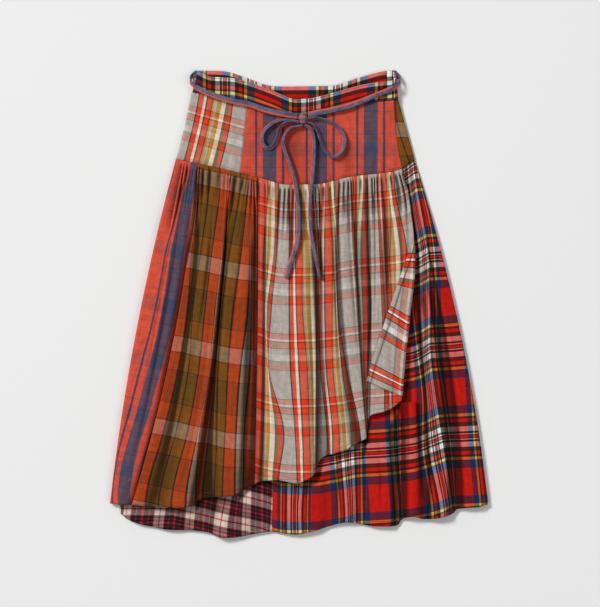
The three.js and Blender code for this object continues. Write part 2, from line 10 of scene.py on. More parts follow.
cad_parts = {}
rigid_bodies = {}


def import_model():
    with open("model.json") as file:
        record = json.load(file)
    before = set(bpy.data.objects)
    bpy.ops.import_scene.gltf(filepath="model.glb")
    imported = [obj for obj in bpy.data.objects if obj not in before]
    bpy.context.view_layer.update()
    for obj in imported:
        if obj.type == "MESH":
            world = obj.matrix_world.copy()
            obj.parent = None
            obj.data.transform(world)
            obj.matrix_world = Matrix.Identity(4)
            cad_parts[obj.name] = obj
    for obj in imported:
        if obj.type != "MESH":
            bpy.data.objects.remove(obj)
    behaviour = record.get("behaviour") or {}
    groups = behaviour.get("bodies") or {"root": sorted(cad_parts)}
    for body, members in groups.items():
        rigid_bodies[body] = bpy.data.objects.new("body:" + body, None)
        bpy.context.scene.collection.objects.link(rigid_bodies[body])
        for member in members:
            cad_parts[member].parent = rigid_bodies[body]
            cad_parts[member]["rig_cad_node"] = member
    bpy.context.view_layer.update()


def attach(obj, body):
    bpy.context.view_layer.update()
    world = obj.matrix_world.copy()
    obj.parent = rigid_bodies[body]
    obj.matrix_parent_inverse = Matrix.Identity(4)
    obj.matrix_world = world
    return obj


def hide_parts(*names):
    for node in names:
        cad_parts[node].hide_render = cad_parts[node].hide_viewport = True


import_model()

# Camera: a long lens straight above the skirt, as a garment is photographed on a copy stand. The photo's
# frame is 600 by 607 pixels, and a pixel covers 1.75 mm at the level of the cloth's face.
PIXEL_MM = 1.75
FRAME_HEIGHT_PX = 607
FRAME_MIDDLE_MM = (1.4, 0.7)
CAMERA_HEIGHT = 3.4
FACE_HEIGHT = 0.012
SENSOR_MM = 24


def placed(name, data):
    """A new object in the scene."""
    made = bpy.data.objects.new(name, data)
    bpy.context.scene.collection.objects.link(made)
    return made


camera_data = bpy.data.cameras.new("copy_stand_camera")
camera = placed("copy_stand_camera", camera_data)
camera.location = (FRAME_MIDDLE_MM[0] / 1000, FRAME_MIDDLE_MM[1] / 1000, CAMERA_HEIGHT)
camera_data.sensor_fit = "VERTICAL"
camera_data.sensor_height = SENSOR_MM
camera_data.lens = SENSOR_MM * (CAMERA_HEIGHT - FACE_HEIGHT) / (FRAME_HEIGHT_PX * PIXEL_MM / 1000)
bpy.context.scene.camera = camera

# Loops and tails of the bow: one flat strap about 10 mm wide, of grape cotton with a coral one along its
# edge. It is tied in front, with a loop to each side, and its two tails hang free with bare ends. MIDDLE is
# the object's origin in the script's own mm.
MIDDLE = (0.3, 0.9)
BELT_WIDTH = 9.6
BELT_THICKNESS = 1.8
BELT_LEVEL = 17.1
GRAPE = "6d6a7e"
GRAPE_DEEP = "55506a"
BELT_CORAL = "cf5a4a"


def linear(hex_colour):
    channels = [int(hex_colour[i:i + 2], 16) / 255 for i in (0, 2, 4)]
    return [c / 12.92 if c <= 0.04045 else ((c + 0.055) / 1.055) ** 2.4 for c in channels] + [1]


def lerp(a, b, t):
    return a + (b - a) * t


def smooth(start, end, x):
    t = min(max((x - start) / (end - start), 0), 1)
    return t * t * (3 - 2 * t)


def through(places, values):
    """A smooth curve through given values that never swings past them."""
    last = len(places) - 1
    steps = [(values[i + 1] - values[i]) / (places[i + 1] - places[i]) for i in range(last)]
    slopes = [steps[0]]
    for before, after in zip(steps, steps[1:]):
        slopes.append(0 if before * after <= 0 else 2 * before * after / (before + after))
    slopes.append(steps[-1])

    def curve(x):
        i = 0
        while i < last - 1 and x > places[i + 1]:
            i += 1
        width = places[i + 1] - places[i]
        s = min(max((x - places[i]) / width, 0), 1)
        held = values[i] * (1 + 2 * s) * (1 - s) ** 2 + values[i + 1] * s * s * (3 - 2 * s)
        return held + width * s * (1 - s) * (slopes[i] * (1 - s) - slopes[i + 1] * s)

    return curve


def line(points):
    return through([p[0] for p in points], [p[1] for p in points])


def bow(head, mid, foot, t):
    return head * (1 - t) * (1 - 2 * t) + mid * 4 * t * (1 - t) + foot * t * (2 * t - 1)


def metres(x, y, z):
    return Vector(((x - MIDDLE[0]) / 1000, (y - MIDDLE[1]) / 1000, z / 1000))


def grid_piece(name, columns, rows, place, thread, material, wall, node_names, shade=None):
    """Cloth made from a flat grid. place gives x, y, z in mm and thread gives the cloth's own mm, from the
    column and row of each corner. The wall is laid inside the face. shade holds, row by row, how much painted
    shade each corner gets: the cloth's material darkens its colour by it."""
    mesh = bpy.data.meshes.new(name)
    bm = bmesh.new()
    bmesh.ops.create_grid(bm, x_segments=columns, y_segments=rows, size=0.5)
    shade_layer = bm.verts.layers.float.new("painted_shade")
    marks = {}
    for vert in bm.verts:
        i = round((vert.co.x + 0.5) * columns)
        j = round((0.5 - vert.co.y) * rows)
        marks[vert] = (i, j)
    uv_layer = bm.loops.layers.uv.new("cloth_mm")
    spots = {mark: place(*mark) for mark in marks.values()}
    threads = {mark: thread(mark[0], mark[1], spots[mark]) for mark in spots}
    for vert, mark in marks.items():
        vert.co = metres(*spots[mark])
        vert[shade_layer] = shade[mark[1]][mark[0]] if shade else 0
    for face in bm.faces:
        face.smooth = True
        for loop in face.loops:
            loop[uv_layer].uv = threads[marks[loop.vert]]
    bm.to_mesh(mesh)
    bm.free()
    mesh.materials.append(material)
    piece = placed(name, mesh)
    shell = piece.modifiers.new("wall", "SOLIDIFY")
    shell.thickness = wall / 1000
    shell.offset = -1
    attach(piece, "root")
    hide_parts(*node_names)
    return piece


def add_node(tree, kind, inputs=None, **settings):
    """One shader node. An input is named or counted, and takes a value or another node's output."""
    node = tree.nodes.new("ShaderNode" + kind)
    for key, value in settings.items():
        setattr(node, key, value)
    for key, value in (inputs or {}).items():
        if isinstance(value, bpy.types.NodeSocket):
            tree.links.new(value, node.inputs[key])
        else:
            node.inputs[key].default_value = value
    return node


def stripes(tree, distance, sett, mirrored=False):
    """The colour of one set of yarns. sett lists (width in mm, colour) across one repeat, or across half of
    one that is mirrored."""
    repeat = sum(width for width, colour in sett)
    turns = add_node(tree, "Math", {0: distance, 1: 1 / repeat}, operation="MULTIPLY").outputs[0]
    if mirrored:
        share = add_node(tree, "Math", {0: turns, 1: 1.0}, operation="PINGPONG").outputs[0]
    else:
        share = add_node(tree, "Math", {0: turns}, operation="FRACT").outputs[0]
    ramp = add_node(tree, "ValToRGB", {0: share})
    ramp.color_ramp.interpolation = "CONSTANT"
    reached = 0
    for number, (width, colour) in enumerate(sett):
        if number < 2:
            stop = ramp.color_ramp.elements[number]
            stop.position = reached / repeat
        else:
            stop = ramp.color_ramp.elements.new(reached / repeat)
        stop.color = linear(colour)
        reached += width
    return ramp.outputs[0]


def woven(tree, share, warp, weft, depth=2.2):
    """Warp and weft crossed. The share is the weft's. A greater depth lets the darker yarn count for more."""
    seen = [add_node(tree, "Gamma", {0: yarns, 1: 1 / depth}).outputs[0] for yarns in (warp, weft)]
    both = add_node(tree, "Mix", {0: share, 6: seen[0], 7: seen[1]}, data_type="RGBA").outputs[2]
    return add_node(tree, "Gamma", {0: both, 1: depth}).outputs[0]


def new_material(name):
    """A material, its node tree and its shader."""
    material = bpy.data.materials.new(name)
    material.use_nodes = True
    return material, material.node_tree, material.node_tree.nodes["Principled BSDF"]


HOLLOW_SHADE = 0.8
YARN_MM = 1.3
NAP = 0.06


def cloth_material(name, colour_from, crumple_mm=0.5):
    """Plain-woven cotton or flannel: dull, with no gloss, a faint nap and the soft crumple of washed cloth.
    colour_from makes its colour from the distances in mm across and along the cloth."""
    material, tree, shader = new_material(name)
    spot = add_node(tree, "UVMap", uv_map="cloth_mm").outputs[0]
    parts = add_node(tree, "SeparateXYZ", {0: spot})
    across, along = parts.outputs[0], parts.outputs[1]
    colour = colour_from(tree, across, along)
    # Painted shade: the colour is darkened by each corner's painted shade value, most in the deep hollows of
    # folds. Single yarns are a little lighter or darker along their length, and the dye took unevenly in soft
    # patches.
    painted_shade = add_node(tree, "Attribute", attribute_name="painted_shade").outputs["Fac"]
    shade = add_node(tree, "Math", {0: painted_shade, 1: -HOLLOW_SHADE, 2: 1.0}, operation="MULTIPLY_ADD").outputs[0]
    for stretch in ((0.8, 0.03, 0), (0.03, 0.8, 0), (0.09, 0.09, 0)):
        spread = add_node(tree, "VectorMath", {0: spot, 1: stretch}, operation="MULTIPLY").outputs[0]
        streak = add_node(tree, "TexNoise", {"Vector": spread, "Scale": 1.0, "Detail": 2.0}).outputs[0]
        level = add_node(tree, "MapRange", {0: streak, 1: 0.25, 2: 0.75, 3: 0.84, 4: 1.14}).outputs[0]
        shade = add_node(tree, "Math", {0: level, 1: shade}, operation="MULTIPLY").outputs[0]
    colour = add_node(tree, "HueSaturation", {"Value": shade, "Color": colour}).outputs[0]
    tree.links.new(colour, shader.inputs["Base Color"])
    shader.inputs["Roughness"].default_value = 0.9
    shader.inputs["Specular IOR Level"].default_value = 0.1
    shader.inputs["Sheen Weight"].default_value = NAP
    # The weave's own height, and the soft crumple that wear leaves, both in mm. Real yarns lie about 0.5 mm
    # apart, too fine to show, so they are drawn coarser.
    rate = 2 * math.pi / YARN_MM
    waves = []
    for distance in (across, along):
        phase = add_node(tree, "Math", {0: distance, 1: rate}, operation="MULTIPLY").outputs[0]
        waves.append(add_node(tree, "Math", {0: phase}, operation="SINE").outputs[0])
    weave = add_node(tree, "Math", {0: waves[0], 1: waves[1]}, operation="MULTIPLY").outputs[0]
    weave = add_node(tree, "Math", {0: weave, 1: 0.05}, operation="MULTIPLY").outputs[0]
    crumple = add_node(tree, "TexNoise", {"Vector": spot, "Scale": 0.045, "Detail": 3.0}).outputs[0]
    raised = {0: crumple, 1: 2 * crumple_mm, 2: weave}
    height = add_node(tree, "Math", raised, operation="MULTIPLY_ADD").outputs[0]
    bump = add_node(tree, "Bump", {"Height": height, "Distance": 0.001, "Strength": 0.8})
    tree.links.new(bump.outputs[0], shader.inputs["Normal"])
    return material


def strap_colour(tree, across, along):
    """Coral shows along one side of the strap and grape on the rest, which deepens here and there."""
    spot = add_node(tree, "CombineXYZ", {0: across, 1: along}).outputs[0]
    cloudy = add_node(tree, "TexNoise", {"Scale": 0.05, "Vector": spot}).outputs[0]
    depth = add_node(tree, "MapRange", {0: cloudy, 1: 0.4, 2: 0.6}).outputs[0]
    grapes = {0: depth, 6: linear(GRAPE), 7: linear(GRAPE_DEEP)}
    face = add_node(tree, "Mix", grapes, data_type="RGBA").outputs[2]
    side = add_node(tree, "Math", {0: across, 1: STRAP_CORAL_MM}, operation="LESS_THAN").outputs[0]
    return add_node(tree, "Mix", {0: side, 6: face, 7: linear(BELT_CORAL)}, data_type="RGBA").outputs[2]


STRAP_CORAL_MM = 3.0
strap_cloth = cloth_material("grape_and_coral_strap_cloth", strap_colour, crumple_mm=0.3)

# Heights of what the tails lie on, in mm, looked up on the frame's own solids
LAID_ON = ["yoke_front_left", "yoke_front_right", "over_middle_panel", "over_wrap_panel"]


def surfaces(names):
    graph = bpy.context.evaluated_depsgraph_get()
    solids = [o for o in bpy.data.objects if o.get("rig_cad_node") in names]
    return [BVHTree.FromObject(o, graph) for o in solids]


front_surfaces = surfaces(LAID_ON)


def front_top(x, y, reach):
    top = 0
    for side_x in (-reach, 0, reach):
        for side_y in (-reach, 0, reach):
            start = metres(x + side_x, y + side_y, 100)
            for surface in front_surfaces:
                found = surface.ray_cast(start, Vector((0, 0, -1)))[0]
                if found is not None:
                    top = max(top, found.z * 1000)
    return top


def spaced(points, count):
    """Evenly spaced places and directions along the smooth line through given points."""
    places = [Vector(p) for p in points]
    ahead = [2 * places[0] - places[1]] + places + [2 * places[-1] - places[-2]]
    fine = []
    for a, b, c, d in zip(ahead, ahead[1:], ahead[2:], ahead[3:]):
        for k in range(12):
            t = k / 12
            fine.append(0.5 * (2 * b + (c - a) * t + (2 * a - 5 * b + 4 * c - d) * t * t
                               + (3 * b - a - 3 * c + d) * t ** 3))
    fine.append(places[-1])
    reached = [0]
    for a, b in zip(fine, fine[1:]):
        reached.append(reached[-1] + (b - a).length)
    found = []
    k = 0
    for i in range(count + 1):
        goal = reached[-1] * i / count
        while k < len(fine) - 2 and reached[k + 1] < goal:
            k += 1
        share = (goal - reached[k]) / (reached[k + 1] - reached[k])
        found.append((fine[k].lerp(fine[k + 1], share), (fine[k + 1] - fine[k]).normalized()))
    return found, reached[-1]


# The strap's two faces bulge a little between its edges.
STRAP_BULGE = 0.7
STRAP_ROWS = 8


def strap_piece(name, course, height_at, node_names):
    """A length of strap. Its course gives x, y and the tilt in degrees of its width out of the level."""
    columns = 6 * len(course)
    places, length = spaced(course, columns)
    heights = [height_at(p.x, p.y, math.radians(p.z)) for p, way in places]
    heights = [max(heights[max(i - 3, 0):i + 4]) for i in range(columns + 1)]
    for again in range(2):
        near = [heights[max(i - 2, 0):i + 3] for i in range(columns + 1)]
        heights = [sum(some) / len(some) for some in near]

    def place(i, j):
        (x, y, tilt), way = places[i]
        side = Vector((-way.y, way.x)).normalized() * math.cos(math.radians(tilt))
        w = 0.5 - j / STRAP_ROWS
        width = Vector((side.x, side.y, math.sin(math.radians(tilt))))
        out = Vector((way.x, way.y, 0)).normalized().cross(width)
        at = Vector((x, y, heights[i])) + width * w * BELT_WIDTH + out * STRAP_BULGE * (1 - 4 * w * w)
        return at

    def thread(i, j, spot):
        return (BELT_WIDTH - j / STRAP_ROWS * BELT_WIDTH, length * i / columns)

    piece = grid_piece(name, columns, STRAP_ROWS, place, thread, strap_cloth, BELT_THICKNESS, node_names)


YOKE_LEVEL = 9.0


def on_the_yoke(x, y, tilt):
    return YOKE_LEVEL + 0.5 + BELT_WIDTH / 2 * math.sin(tilt) + BELT_THICKNESS


def on_the_front(x, y, tilt):
    return front_top(x, y, 5) + 0.4 + BELT_WIDTH / 2 * math.sin(tilt) + BELT_THICKNESS


# Loops stand on edge and tails lie half over: x, y and tilt in degrees
LOOP_LEFT = [
    (0.1, 320.8, 80), (-10, 323, 76), (-20, 324, 68), (-31, 323.4, 60), (-43, 319.6, 54), (-54.4, 312, 50),
    (-62.5, 303, 50), (-65.6, 292, 52), (-64.4, 283, 54), (-60, 275.6, 56), (-53.6, 272.5, 56),
    (-47.4, 274.8, 56), (-42, 281.4, 56), (-37.8, 290.3, 56), (-35.4, 299, 58), (-33, 307, 62),
    (-28.5, 313.6, 68), (-21.5, 317.6, 74), (-12, 318.4, 80), (0, 317.2, 84),
]
LOOP_RIGHT = [
    (15.3, 323.6, 80), (22, 325, 76), (31, 325.2, 68), (49, 320, 58), (64.6, 311.9, 52), (75.8, 298.4, 48),
    (79, 282.8, 46), (73.5, 267, 50), (64.6, 259.4, 56), (55.7, 260.4, 58), (45.5, 271.6, 58),
    (37.8, 289.5, 60), (32, 306, 68), (26, 314.8, 76), (14.8, 319.6, 82),
]
TAIL_LEFT = [
    (6.2, 314.7, 70), (-1, 313, 70), (-7, 312.2, 70), (-14, 310, 68), (-20.5, 304.5, 66), (-25.6, 297, 64),
    (-28.4, 288, 62), (-28, 278, 60), (-24.6, 266, 58), (-19.6, 253, 56), (-14.4, 237.7, 52),
    (-9.8, 224.4, 48), (-5, 198, 44), (-2, 168, 42), (-1.4, 136, 40), (-4.6, 106, 38), (-13, 79, 34),
    (-21, 52, 28), (-22.6, 46, 26),
]
TAIL_RIGHT = [
    (9.6, 312.3, 62), (14, 310.8, 60), (19, 306.6, 56), (23, 300, 52), (25, 289, 48), (25.4, 276, 46),
    (25, 260, 46), (24, 242, 48), (22.2, 218, 52), (19.4, 190, 58), (18.2, 158, 62), (20.2, 128.6, 62),
    (24.5, 102, 64), (29.4, 75, 66), (34.4, 52, 68), (35.6, 46, 68),
]
for name, course, height_at in (
        ("loop_left", LOOP_LEFT, on_the_yoke), ("loop_right", LOOP_RIGHT, on_the_yoke),
        ("tail_left", TAIL_LEFT, on_the_front), ("tail_right", TAIL_RIGHT, on_the_front)):
    strap_piece("strap_" + name, course, height_at, ["bow_" + name])

# The strap round the waist: the same strap, laid flat in front of the band at each side of the knot, folded
# round both sides and drawn on behind the back band
FOLD_FACETS = 10


def side_fold(edge, y_at, top, side, floor):
    """Points from the floor up round a side fold. side is -1 at the left and 1 at the right."""
    radius = (top - floor) / 2
    points = []
    for k in range(FOLD_FACETS + 1):
        angle = math.pi * (k / FOLD_FACETS - 0.5)
        x = edge - side * radius * (1 - math.cos(angle))
        points.append(Vector((x, y_at(x, k / FOLD_FACETS), floor + radius * (1 + math.sin(angle)))))
    return points


BELT_RIGHT_LINE = line([(13.6, 331.5), (50.8, 338.6), (84.7, 346.3), (118, 358.8), (140, 367.7),
                        (162.8, 377), (180, 385)])
BELT_LEFT_LINE = line([(-192, 385), (-186, 382), (-170, 373.5), (-146, 364), (-118.6, 356), (-87, 349.5),
                       (-55, 338.5), (-23, 332), (0.4, 328.5)])
BACK_BAND_TOP = line([(-178, 410), (-135, 409), (-94, 398), (-54, 384), (-33, 382), (54, 383), (107, 398),
                      (150, 409), (170, 411)])


def behind(x):
    return BACK_BAND_TOP(x) - 4.5


def belt_stretch(start, end, count, y_at, level):
    xs = [lerp(start, end, k / count) for k in range(count + 1)]
    return [Vector((x, y_at(x), level)) for x in xs]


def belt_turn(edge, back_y, front_y, side):
    return side_fold(edge, lambda x, s: lerp(back_y, front_y, s), BELT_LEVEL, side, 0)


# The strap's middle from the knot round the right, behind, and back round the left
BELT_ROWS = 6
KNOT_TO_RIGHT = 48
belt_line = belt_stretch(15.4, 166, KNOT_TO_RIGHT, BELT_RIGHT_LINE, BELT_LEVEL)
belt_line += belt_turn(178, behind(165), BELT_RIGHT_LINE(172), 1)[::-1]
belt_line += belt_stretch(158, -166, 60, behind, 0)
belt_line += belt_turn(-191.5, behind(-176), BELT_LEFT_LINE(-186), -1)
belt_line += belt_stretch(-180, -1.5, 56, BELT_LEFT_LINE, BELT_LEVEL)
belt_reach = [0]
for here, after in zip(belt_line, belt_line[1:]):
    belt_reach.append(belt_reach[-1] + (after - here).length)


def belt_place(i, j):
    w = 0.5 - j / BELT_ROWS
    at = belt_line[i]
    lift = 0.5 * (1 - 4 * w * w) * (1 if at.z > 1 else 0)
    return Vector((at.x, at.y + w * (BELT_WIDTH + 0.4), at.z + lift))


def belt_thread(i, j, spot):
    across = j / BELT_ROWS * BELT_WIDTH
    return (across if i < KNOT_TO_RIGHT else BELT_WIDTH - across, belt_reach[i])


belt = grid_piece("strap_round_waist", len(belt_line) - 1, BELT_ROWS, belt_place, belt_thread, strap_cloth,
                  BELT_THICKNESS, ["belt_round_waist"])

# The knot: two turns of the same strap, wound round the bow's middle where the loops cross and drawn tight
# into a small bun with soft ridges
KNOT_MIDDLE = (7, 325.2, 18.6)
KNOT_HALF = (7.4, 9.6, 5.6)
KNOT_COLUMNS = 40
KNOT_ROWS = 30
KNOT_WALL = 1.0


def knot_place(i, j):
    polar = math.pi * (0.04 + 0.92 * j / KNOT_ROWS)
    angle = -2 * math.pi * i / KNOT_COLUMNS
    ridge = 1 + 0.09 * math.cos(4 * polar + 0.8 * math.cos(angle))
    ring = math.sin(polar) ** 0.6 * ridge
    return Vector((KNOT_MIDDLE[0] - KNOT_HALF[0] * ring * math.cos(angle),
                   KNOT_MIDDLE[1] + KNOT_HALF[1] * math.cos(polar),
                   KNOT_MIDDLE[2] + KNOT_HALF[2] * ring * math.sin(-angle)))


def knot_thread(i, j, spot):
    return (j * 0.9 % BELT_WIDTH, i)


knot = grid_piece("strap_knot", KNOT_COLUMNS, KNOT_ROWS, knot_place, knot_thread, strap_cloth, KNOT_WALL,
                  ["bow_knot"])

# Waistband: the front piece turns round both sides and the back piece lies between its ends. Both are
# crimson tartan flannel, two layers thick with a stiffener, cut so that the white yarns run along the top, and
# stitched close to both edges.


def stitch_row(name, points, colour, pitch=3.0, length=2.1, width=0.55):
    """A row of sewn stitches along points in mm on the cloth: small flat threads with gaps between them."""
    places, total = spaced(points, max(8, round(measured(points) / pitch)))
    mesh = bpy.data.meshes.new(name)
    bm = bmesh.new()
    for at, way in places[1:-1]:
        side = way.cross(Vector((0, 0, 1))).normalized()
        stitch = bmesh.ops.create_cube(bm, size=1)["verts"]
        for vert in stitch:
            along = way * vert.co.x * length * (0.8 if vert.co.z > 0 else 1)
            across = side * vert.co.y * width
            vert.co = metres(*(at + along + across + Vector((0, 0, vert.co.z * 0.5 + 0.1))))
    bm.to_mesh(mesh)
    bm.free()
    mesh.materials.append(sewing_thread(colour))
    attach(placed(name, mesh), "root")


def measured(points):
    return sum((Vector(b) - Vector(a)).length for a, b in zip(points, points[1:]))


def sewing_thread(colour):
    """Plain twisted sewing thread of one colour, a little darker here and there."""
    material, tree, shader = new_material("sewing_thread_" + colour)
    spot = add_node(tree, "TexCoord").outputs["Object"]
    twist = add_node(tree, "TexNoise", {"Vector": spot, "Scale": 900.0}).outputs[0]
    shade = add_node(tree, "MapRange", {0: twist, 3: 0.8, 4: 1.1}).outputs[0]
    dyed = add_node(tree, "HueSaturation", {"Value": shade, "Color": linear(colour)}).outputs[0]
    tree.links.new(dyed, shader.inputs["Base Color"])
    shader.inputs["Roughness"].default_value = 0.7
    return material


BAND_WALL = 2.4
BAND_TOP_LEVEL = 15
BAND_FOOT_LEVEL = 12.4
BAND_FLOOR = 2.1
SIDE_RETURN = 17
SIDE_ROUND = 7
SEAM_GAP = 0.3

# A half of the tartan's sett, from the middle of its white group to the middle of its red field
RED = "c5170f"
NIGHT = "15140f"
WHITE = "efe6e2"
PINE = "121d14"
YELLOW = "e3b23c"
NAVY = "1a2857"
TARTAN = [(1.84, RED), (1.57, NIGHT), (2.1, WHITE), (3.45, NIGHT), (8.87, WHITE), (7.63, PINE), (5.77, RED),
          (4.2, PINE), (4.73, YELLOW), (14.7, NAVY), (24.15, RED)]
FRONT_BAND_TOP = line([(-178, 408), (-154, 398), (-119, 396), (-89, 389), (-47, 374), (-5, 359), (16, 360),
                       (73, 374), (115, 385), (170, 392)])
WAIST_SEAM = line([(-187, 372), (-119, 362), (-65, 349), (7, 331), (80, 344), (136, 356), (174, 360)])
BAND_LEFT = (-178, -182.5, -187)
BAND_RIGHT = (170, 172, 174)
BAND_CROSSING_X = 21


def tartan_colour(tree, across, along):
    warp = stripes(tree, across, TARTAN, mirrored=True)
    weft = stripes(tree, along, TARTAN, mirrored=True)
    return woven(tree, 0.5, warp, weft, 4)


crimson_tartan = cloth_material("crimson_tartan_flannel", tartan_colour)


def rows_piece(name, rows, thread, material, wall, node_names, shade=None):
    """Cloth through rows of points from waist to hem. thread takes a point, its reach along the row from the
    left, its column and its row."""
    reaches = []
    for row in rows:
        reach = [0]
        for a, b in zip(row, row[1:]):
            reach.append(reach[-1] + (b - a).length)
        reaches.append(reach)
    return grid_piece(name, len(rows[0]) - 1, len(rows) - 1, lambda i, j: rows[j][i],
                      lambda i, j, spot: thread(spot, reaches[j][i], i, j), material, wall, node_names, shade)


def side_turn(edge, y_at, top, side, floor=0):
    """A side fold with the cloth that runs back under it, from below upwards."""
    back = edge - side * SIDE_RETURN
    return [Vector((back, y_at(back, 0), floor))] + side_fold(edge, y_at, top, side, floor)


SIDE_COLUMNS = FOLD_FACETS + 2
BAND_ROWS = 14
BAND_COLUMNS = 96
band_rows = []
for j in range(BAND_ROWS + 1):
    t = j / BAND_ROWS
    left = bow(*BAND_LEFT, t)
    right = bow(*BAND_RIGHT, t)
    top = lerp(BAND_TOP_LEVEL, BAND_FOOT_LEVEL, t)

    def side_y(x, s):
        return lerp(lerp(BACK_BAND_TOP(x), FRONT_BAND_TOP(x), s), WAIST_SEAM(x), t)

    row = side_turn(left, side_y, top, -1, BAND_FLOOR)
    for k in range(BAND_COLUMNS + 1):
        x = lerp(left + SIDE_ROUND, right - SIDE_ROUND, k / BAND_COLUMNS)
        pucker = 0.25 * math.sin(x * 0.21 + 2 * math.sin(x * 0.05)) * smooth(0.55, 1, t)
        row.append(Vector((x, lerp(FRONT_BAND_TOP(x), WAIST_SEAM(x), t), top + pucker)))
    band_rows.append(row + side_turn(right, side_y, top, 1, BAND_FLOOR)[::-1])

# The cloth is drawn in a little along the band, so its checks come out narrower. The band's top lies this
# many mm from the middle of the sett's white group.
BAND_DRAWN_IN = 1.05
BAND_TOP_ALONG = 11.5
BACK_BAND_CROSSING_X = -7


def band_thread(spot, reach, i, j):
    down = FRONT_BAND_TOP(spot.x) - lerp(FRONT_BAND_TOP(spot.x), WAIST_SEAM(spot.x), j / BAND_ROWS)
    return (BAND_DRAWN_IN * (spot.x - BAND_CROSSING_X), BAND_TOP_ALONG + down)


band_front = rows_piece("tartan_waistband_front", band_rows, band_thread, crimson_tartan, BAND_WALL,
                        ["waistband_front"])
BAND_THREAD = "2c2020"
for name, j in (("band_top_stitches", 1), ("band_foot_stitches", BAND_ROWS - 1)):
    stitch_row(name, band_rows[j][SIDE_COLUMNS:-SIDE_COLUMNS:4], BAND_THREAD)

BACK_BAND_COLUMNS = 72
band_back_rows = []
for j in range(BAND_ROWS + 1):
    t = j / BAND_ROWS
    right = bow(*BAND_RIGHT, t) - SIDE_RETURN - SEAM_GAP
    left = bow(*BAND_LEFT, t) + SIDE_RETURN + SEAM_GAP
    xs = [lerp(right, left, k / BACK_BAND_COLUMNS) for k in range(BACK_BAND_COLUMNS + 1)]
    band_back_rows.append([Vector((x, lerp(BACK_BAND_TOP(x), WAIST_SEAM(x), t), BAND_FLOOR)) for x in xs])


def band_back_thread(spot, reach, i, j):
    down = BACK_BAND_TOP(spot.x) - lerp(BACK_BAND_TOP(spot.x), WAIST_SEAM(spot.x), j / BAND_ROWS)
    half_sett = sum(width for width, colour in TARTAN)
    return (half_sett + BAND_DRAWN_IN * (spot.x - BACK_BAND_CROSSING_X), BAND_TOP_ALONG + down)


band_back = rows_piece("tartan_waistband_back", band_back_rows, band_back_thread, crimson_tartan, BAND_WALL,
                       ["waistband_back"])

# Yoke: a strip of dove check at the left front, coral stripe across the rest of the front, and umber check
# from the right side round the back. Cut from plain-woven cotton and seamed to the band and the skirt below.
CLOTH = 1.5
YOKE_RIGHT_LEVEL = 6.4
YOKE_HEAD_LEVEL = 9.7
YOKE_SEAM = line([(-216, 255), (-149, 241), (-65, 221), (-20, 210), (29, 211), (91, 224), (158, 232),
                  (180, 238), (203, 253)])
YOKE_LEFT = (-189, -201, -216)
YOKE_RIGHT = (174, 190, 203)
DOVE_TO_CORAL = (-90, -96, -104)
CORAL_TO_UMBER = (166.5, 171, 180.6)
YOKE_ROWS = 28
BACK_STATIONS = (168, 148, 120, 95, 65, 45, 29, 12, -5, -20, -35, -65, -95, -125, -149, -166)

DOVE = "b4a99f"
DOVE_DARK = "3a3029"
POPPY = "de3c22"
CREAM = "ecdcc2"
MOSS = "6b5f3a"
BARK = "4a4026"
ORANGE = "d97a2c"
MUSTARD = "b98626"
DOVE_WARP = [(39, DOVE), (3, DOVE_DARK), (8, POPPY), (4.5, CREAM), (2.5, DOVE_DARK), (10.5, POPPY),
             (2.5, BARK), (3, ORANGE), (3, DOVE), (6, MUSTARD), (8, CREAM), (4.5, MOSS), (5.5, POPPY),
             (3, DOVE_DARK)]
DOVE_LINE = "150f0c"
DOVE_WEFT = [(8.5, POPPY), (4, "fffdf8"), (2, DOVE_LINE), (9.5, POPPY), (1.5, DOVE_LINE), (10, DOVE),
             (11, "efe8e0"), (7, "6f655c"), (8.5, POPPY), (1.5, DOVE_LINE), (49, DOVE), (2, DOVE_LINE)]
CORAL = "d1503b"
PLUM = "3d4862"
PLUM_LINE = "3a3d56"
CORAL_WARP = [(23, PLUM), (9, CORAL), (4, PLUM_LINE), (36, CORAL), (4, PLUM_LINE), (9, CORAL)]
CORAL_WEFT = [(32, CORAL), (2, PLUM), (13, CORAL), (25, "644a5c"), (18, CORAL), (2, PLUM), (6, CORAL)]
UMBER_RED = "de3d1a"
UMBER_LINE = "1b1a2c"
OLIVE = "794e18"
BEIGE = "ab988b"
UMBER_WARP = [(10, UMBER_RED), (2.2, MOSS), (10, UMBER_RED), (3.6, UMBER_LINE), (20.2, OLIVE),
              (2.8, UMBER_LINE), (20.2, OLIVE), (3.6, UMBER_LINE), (10, UMBER_RED), (2.2, MOSS),
              (10, UMBER_RED), (3.6, UMBER_LINE), (12, BEIGE), (3.4, UMBER_LINE)]
UMBER_WEFT = [(26, BEIGE), (2, UMBER_LINE), (30, "85440f"), (1.5, UMBER_LINE), (55, "54360f"),
              (1.5, UMBER_LINE), (29.7, "85440f"), (2, UMBER_LINE)]


def dove_colour(tree, across, along):
    warp = stripes(tree, across, DOVE_WARP)
    return woven(tree, 0.26, warp, stripes(tree, along, DOVE_WEFT))


def coral_colour(tree, across, along):
    return woven(tree, 0.2, stripes(tree, across, CORAL_WARP), stripes(tree, along, CORAL_WEFT))


def umber_colour(tree, across, along):
    return woven(tree, 0.42, stripes(tree, across, UMBER_WARP), stripes(tree, along, UMBER_WEFT))


dove_check = cloth_material("dove_check_cotton", dove_colour)
coral_stripe = cloth_material("coral_stripe_cotton", coral_colour)
umber_check = cloth_material("umber_check_cotton", umber_colour)


def yoke_head(x):
    away_from_sides = smooth(-178, -168, x) * (1 - smooth(150, 160, x))
    return WAIST_SEAM(x) - 0.6 + 1.6 * away_from_sides


def yoke_y(x, t):
    return lerp(yoke_head(x), YOKE_SEAM(x), t)


def yoke_level(x):
    return lerp(YOKE_LEVEL, YOKE_RIGHT_LEVEL, smooth(110, 180, x))


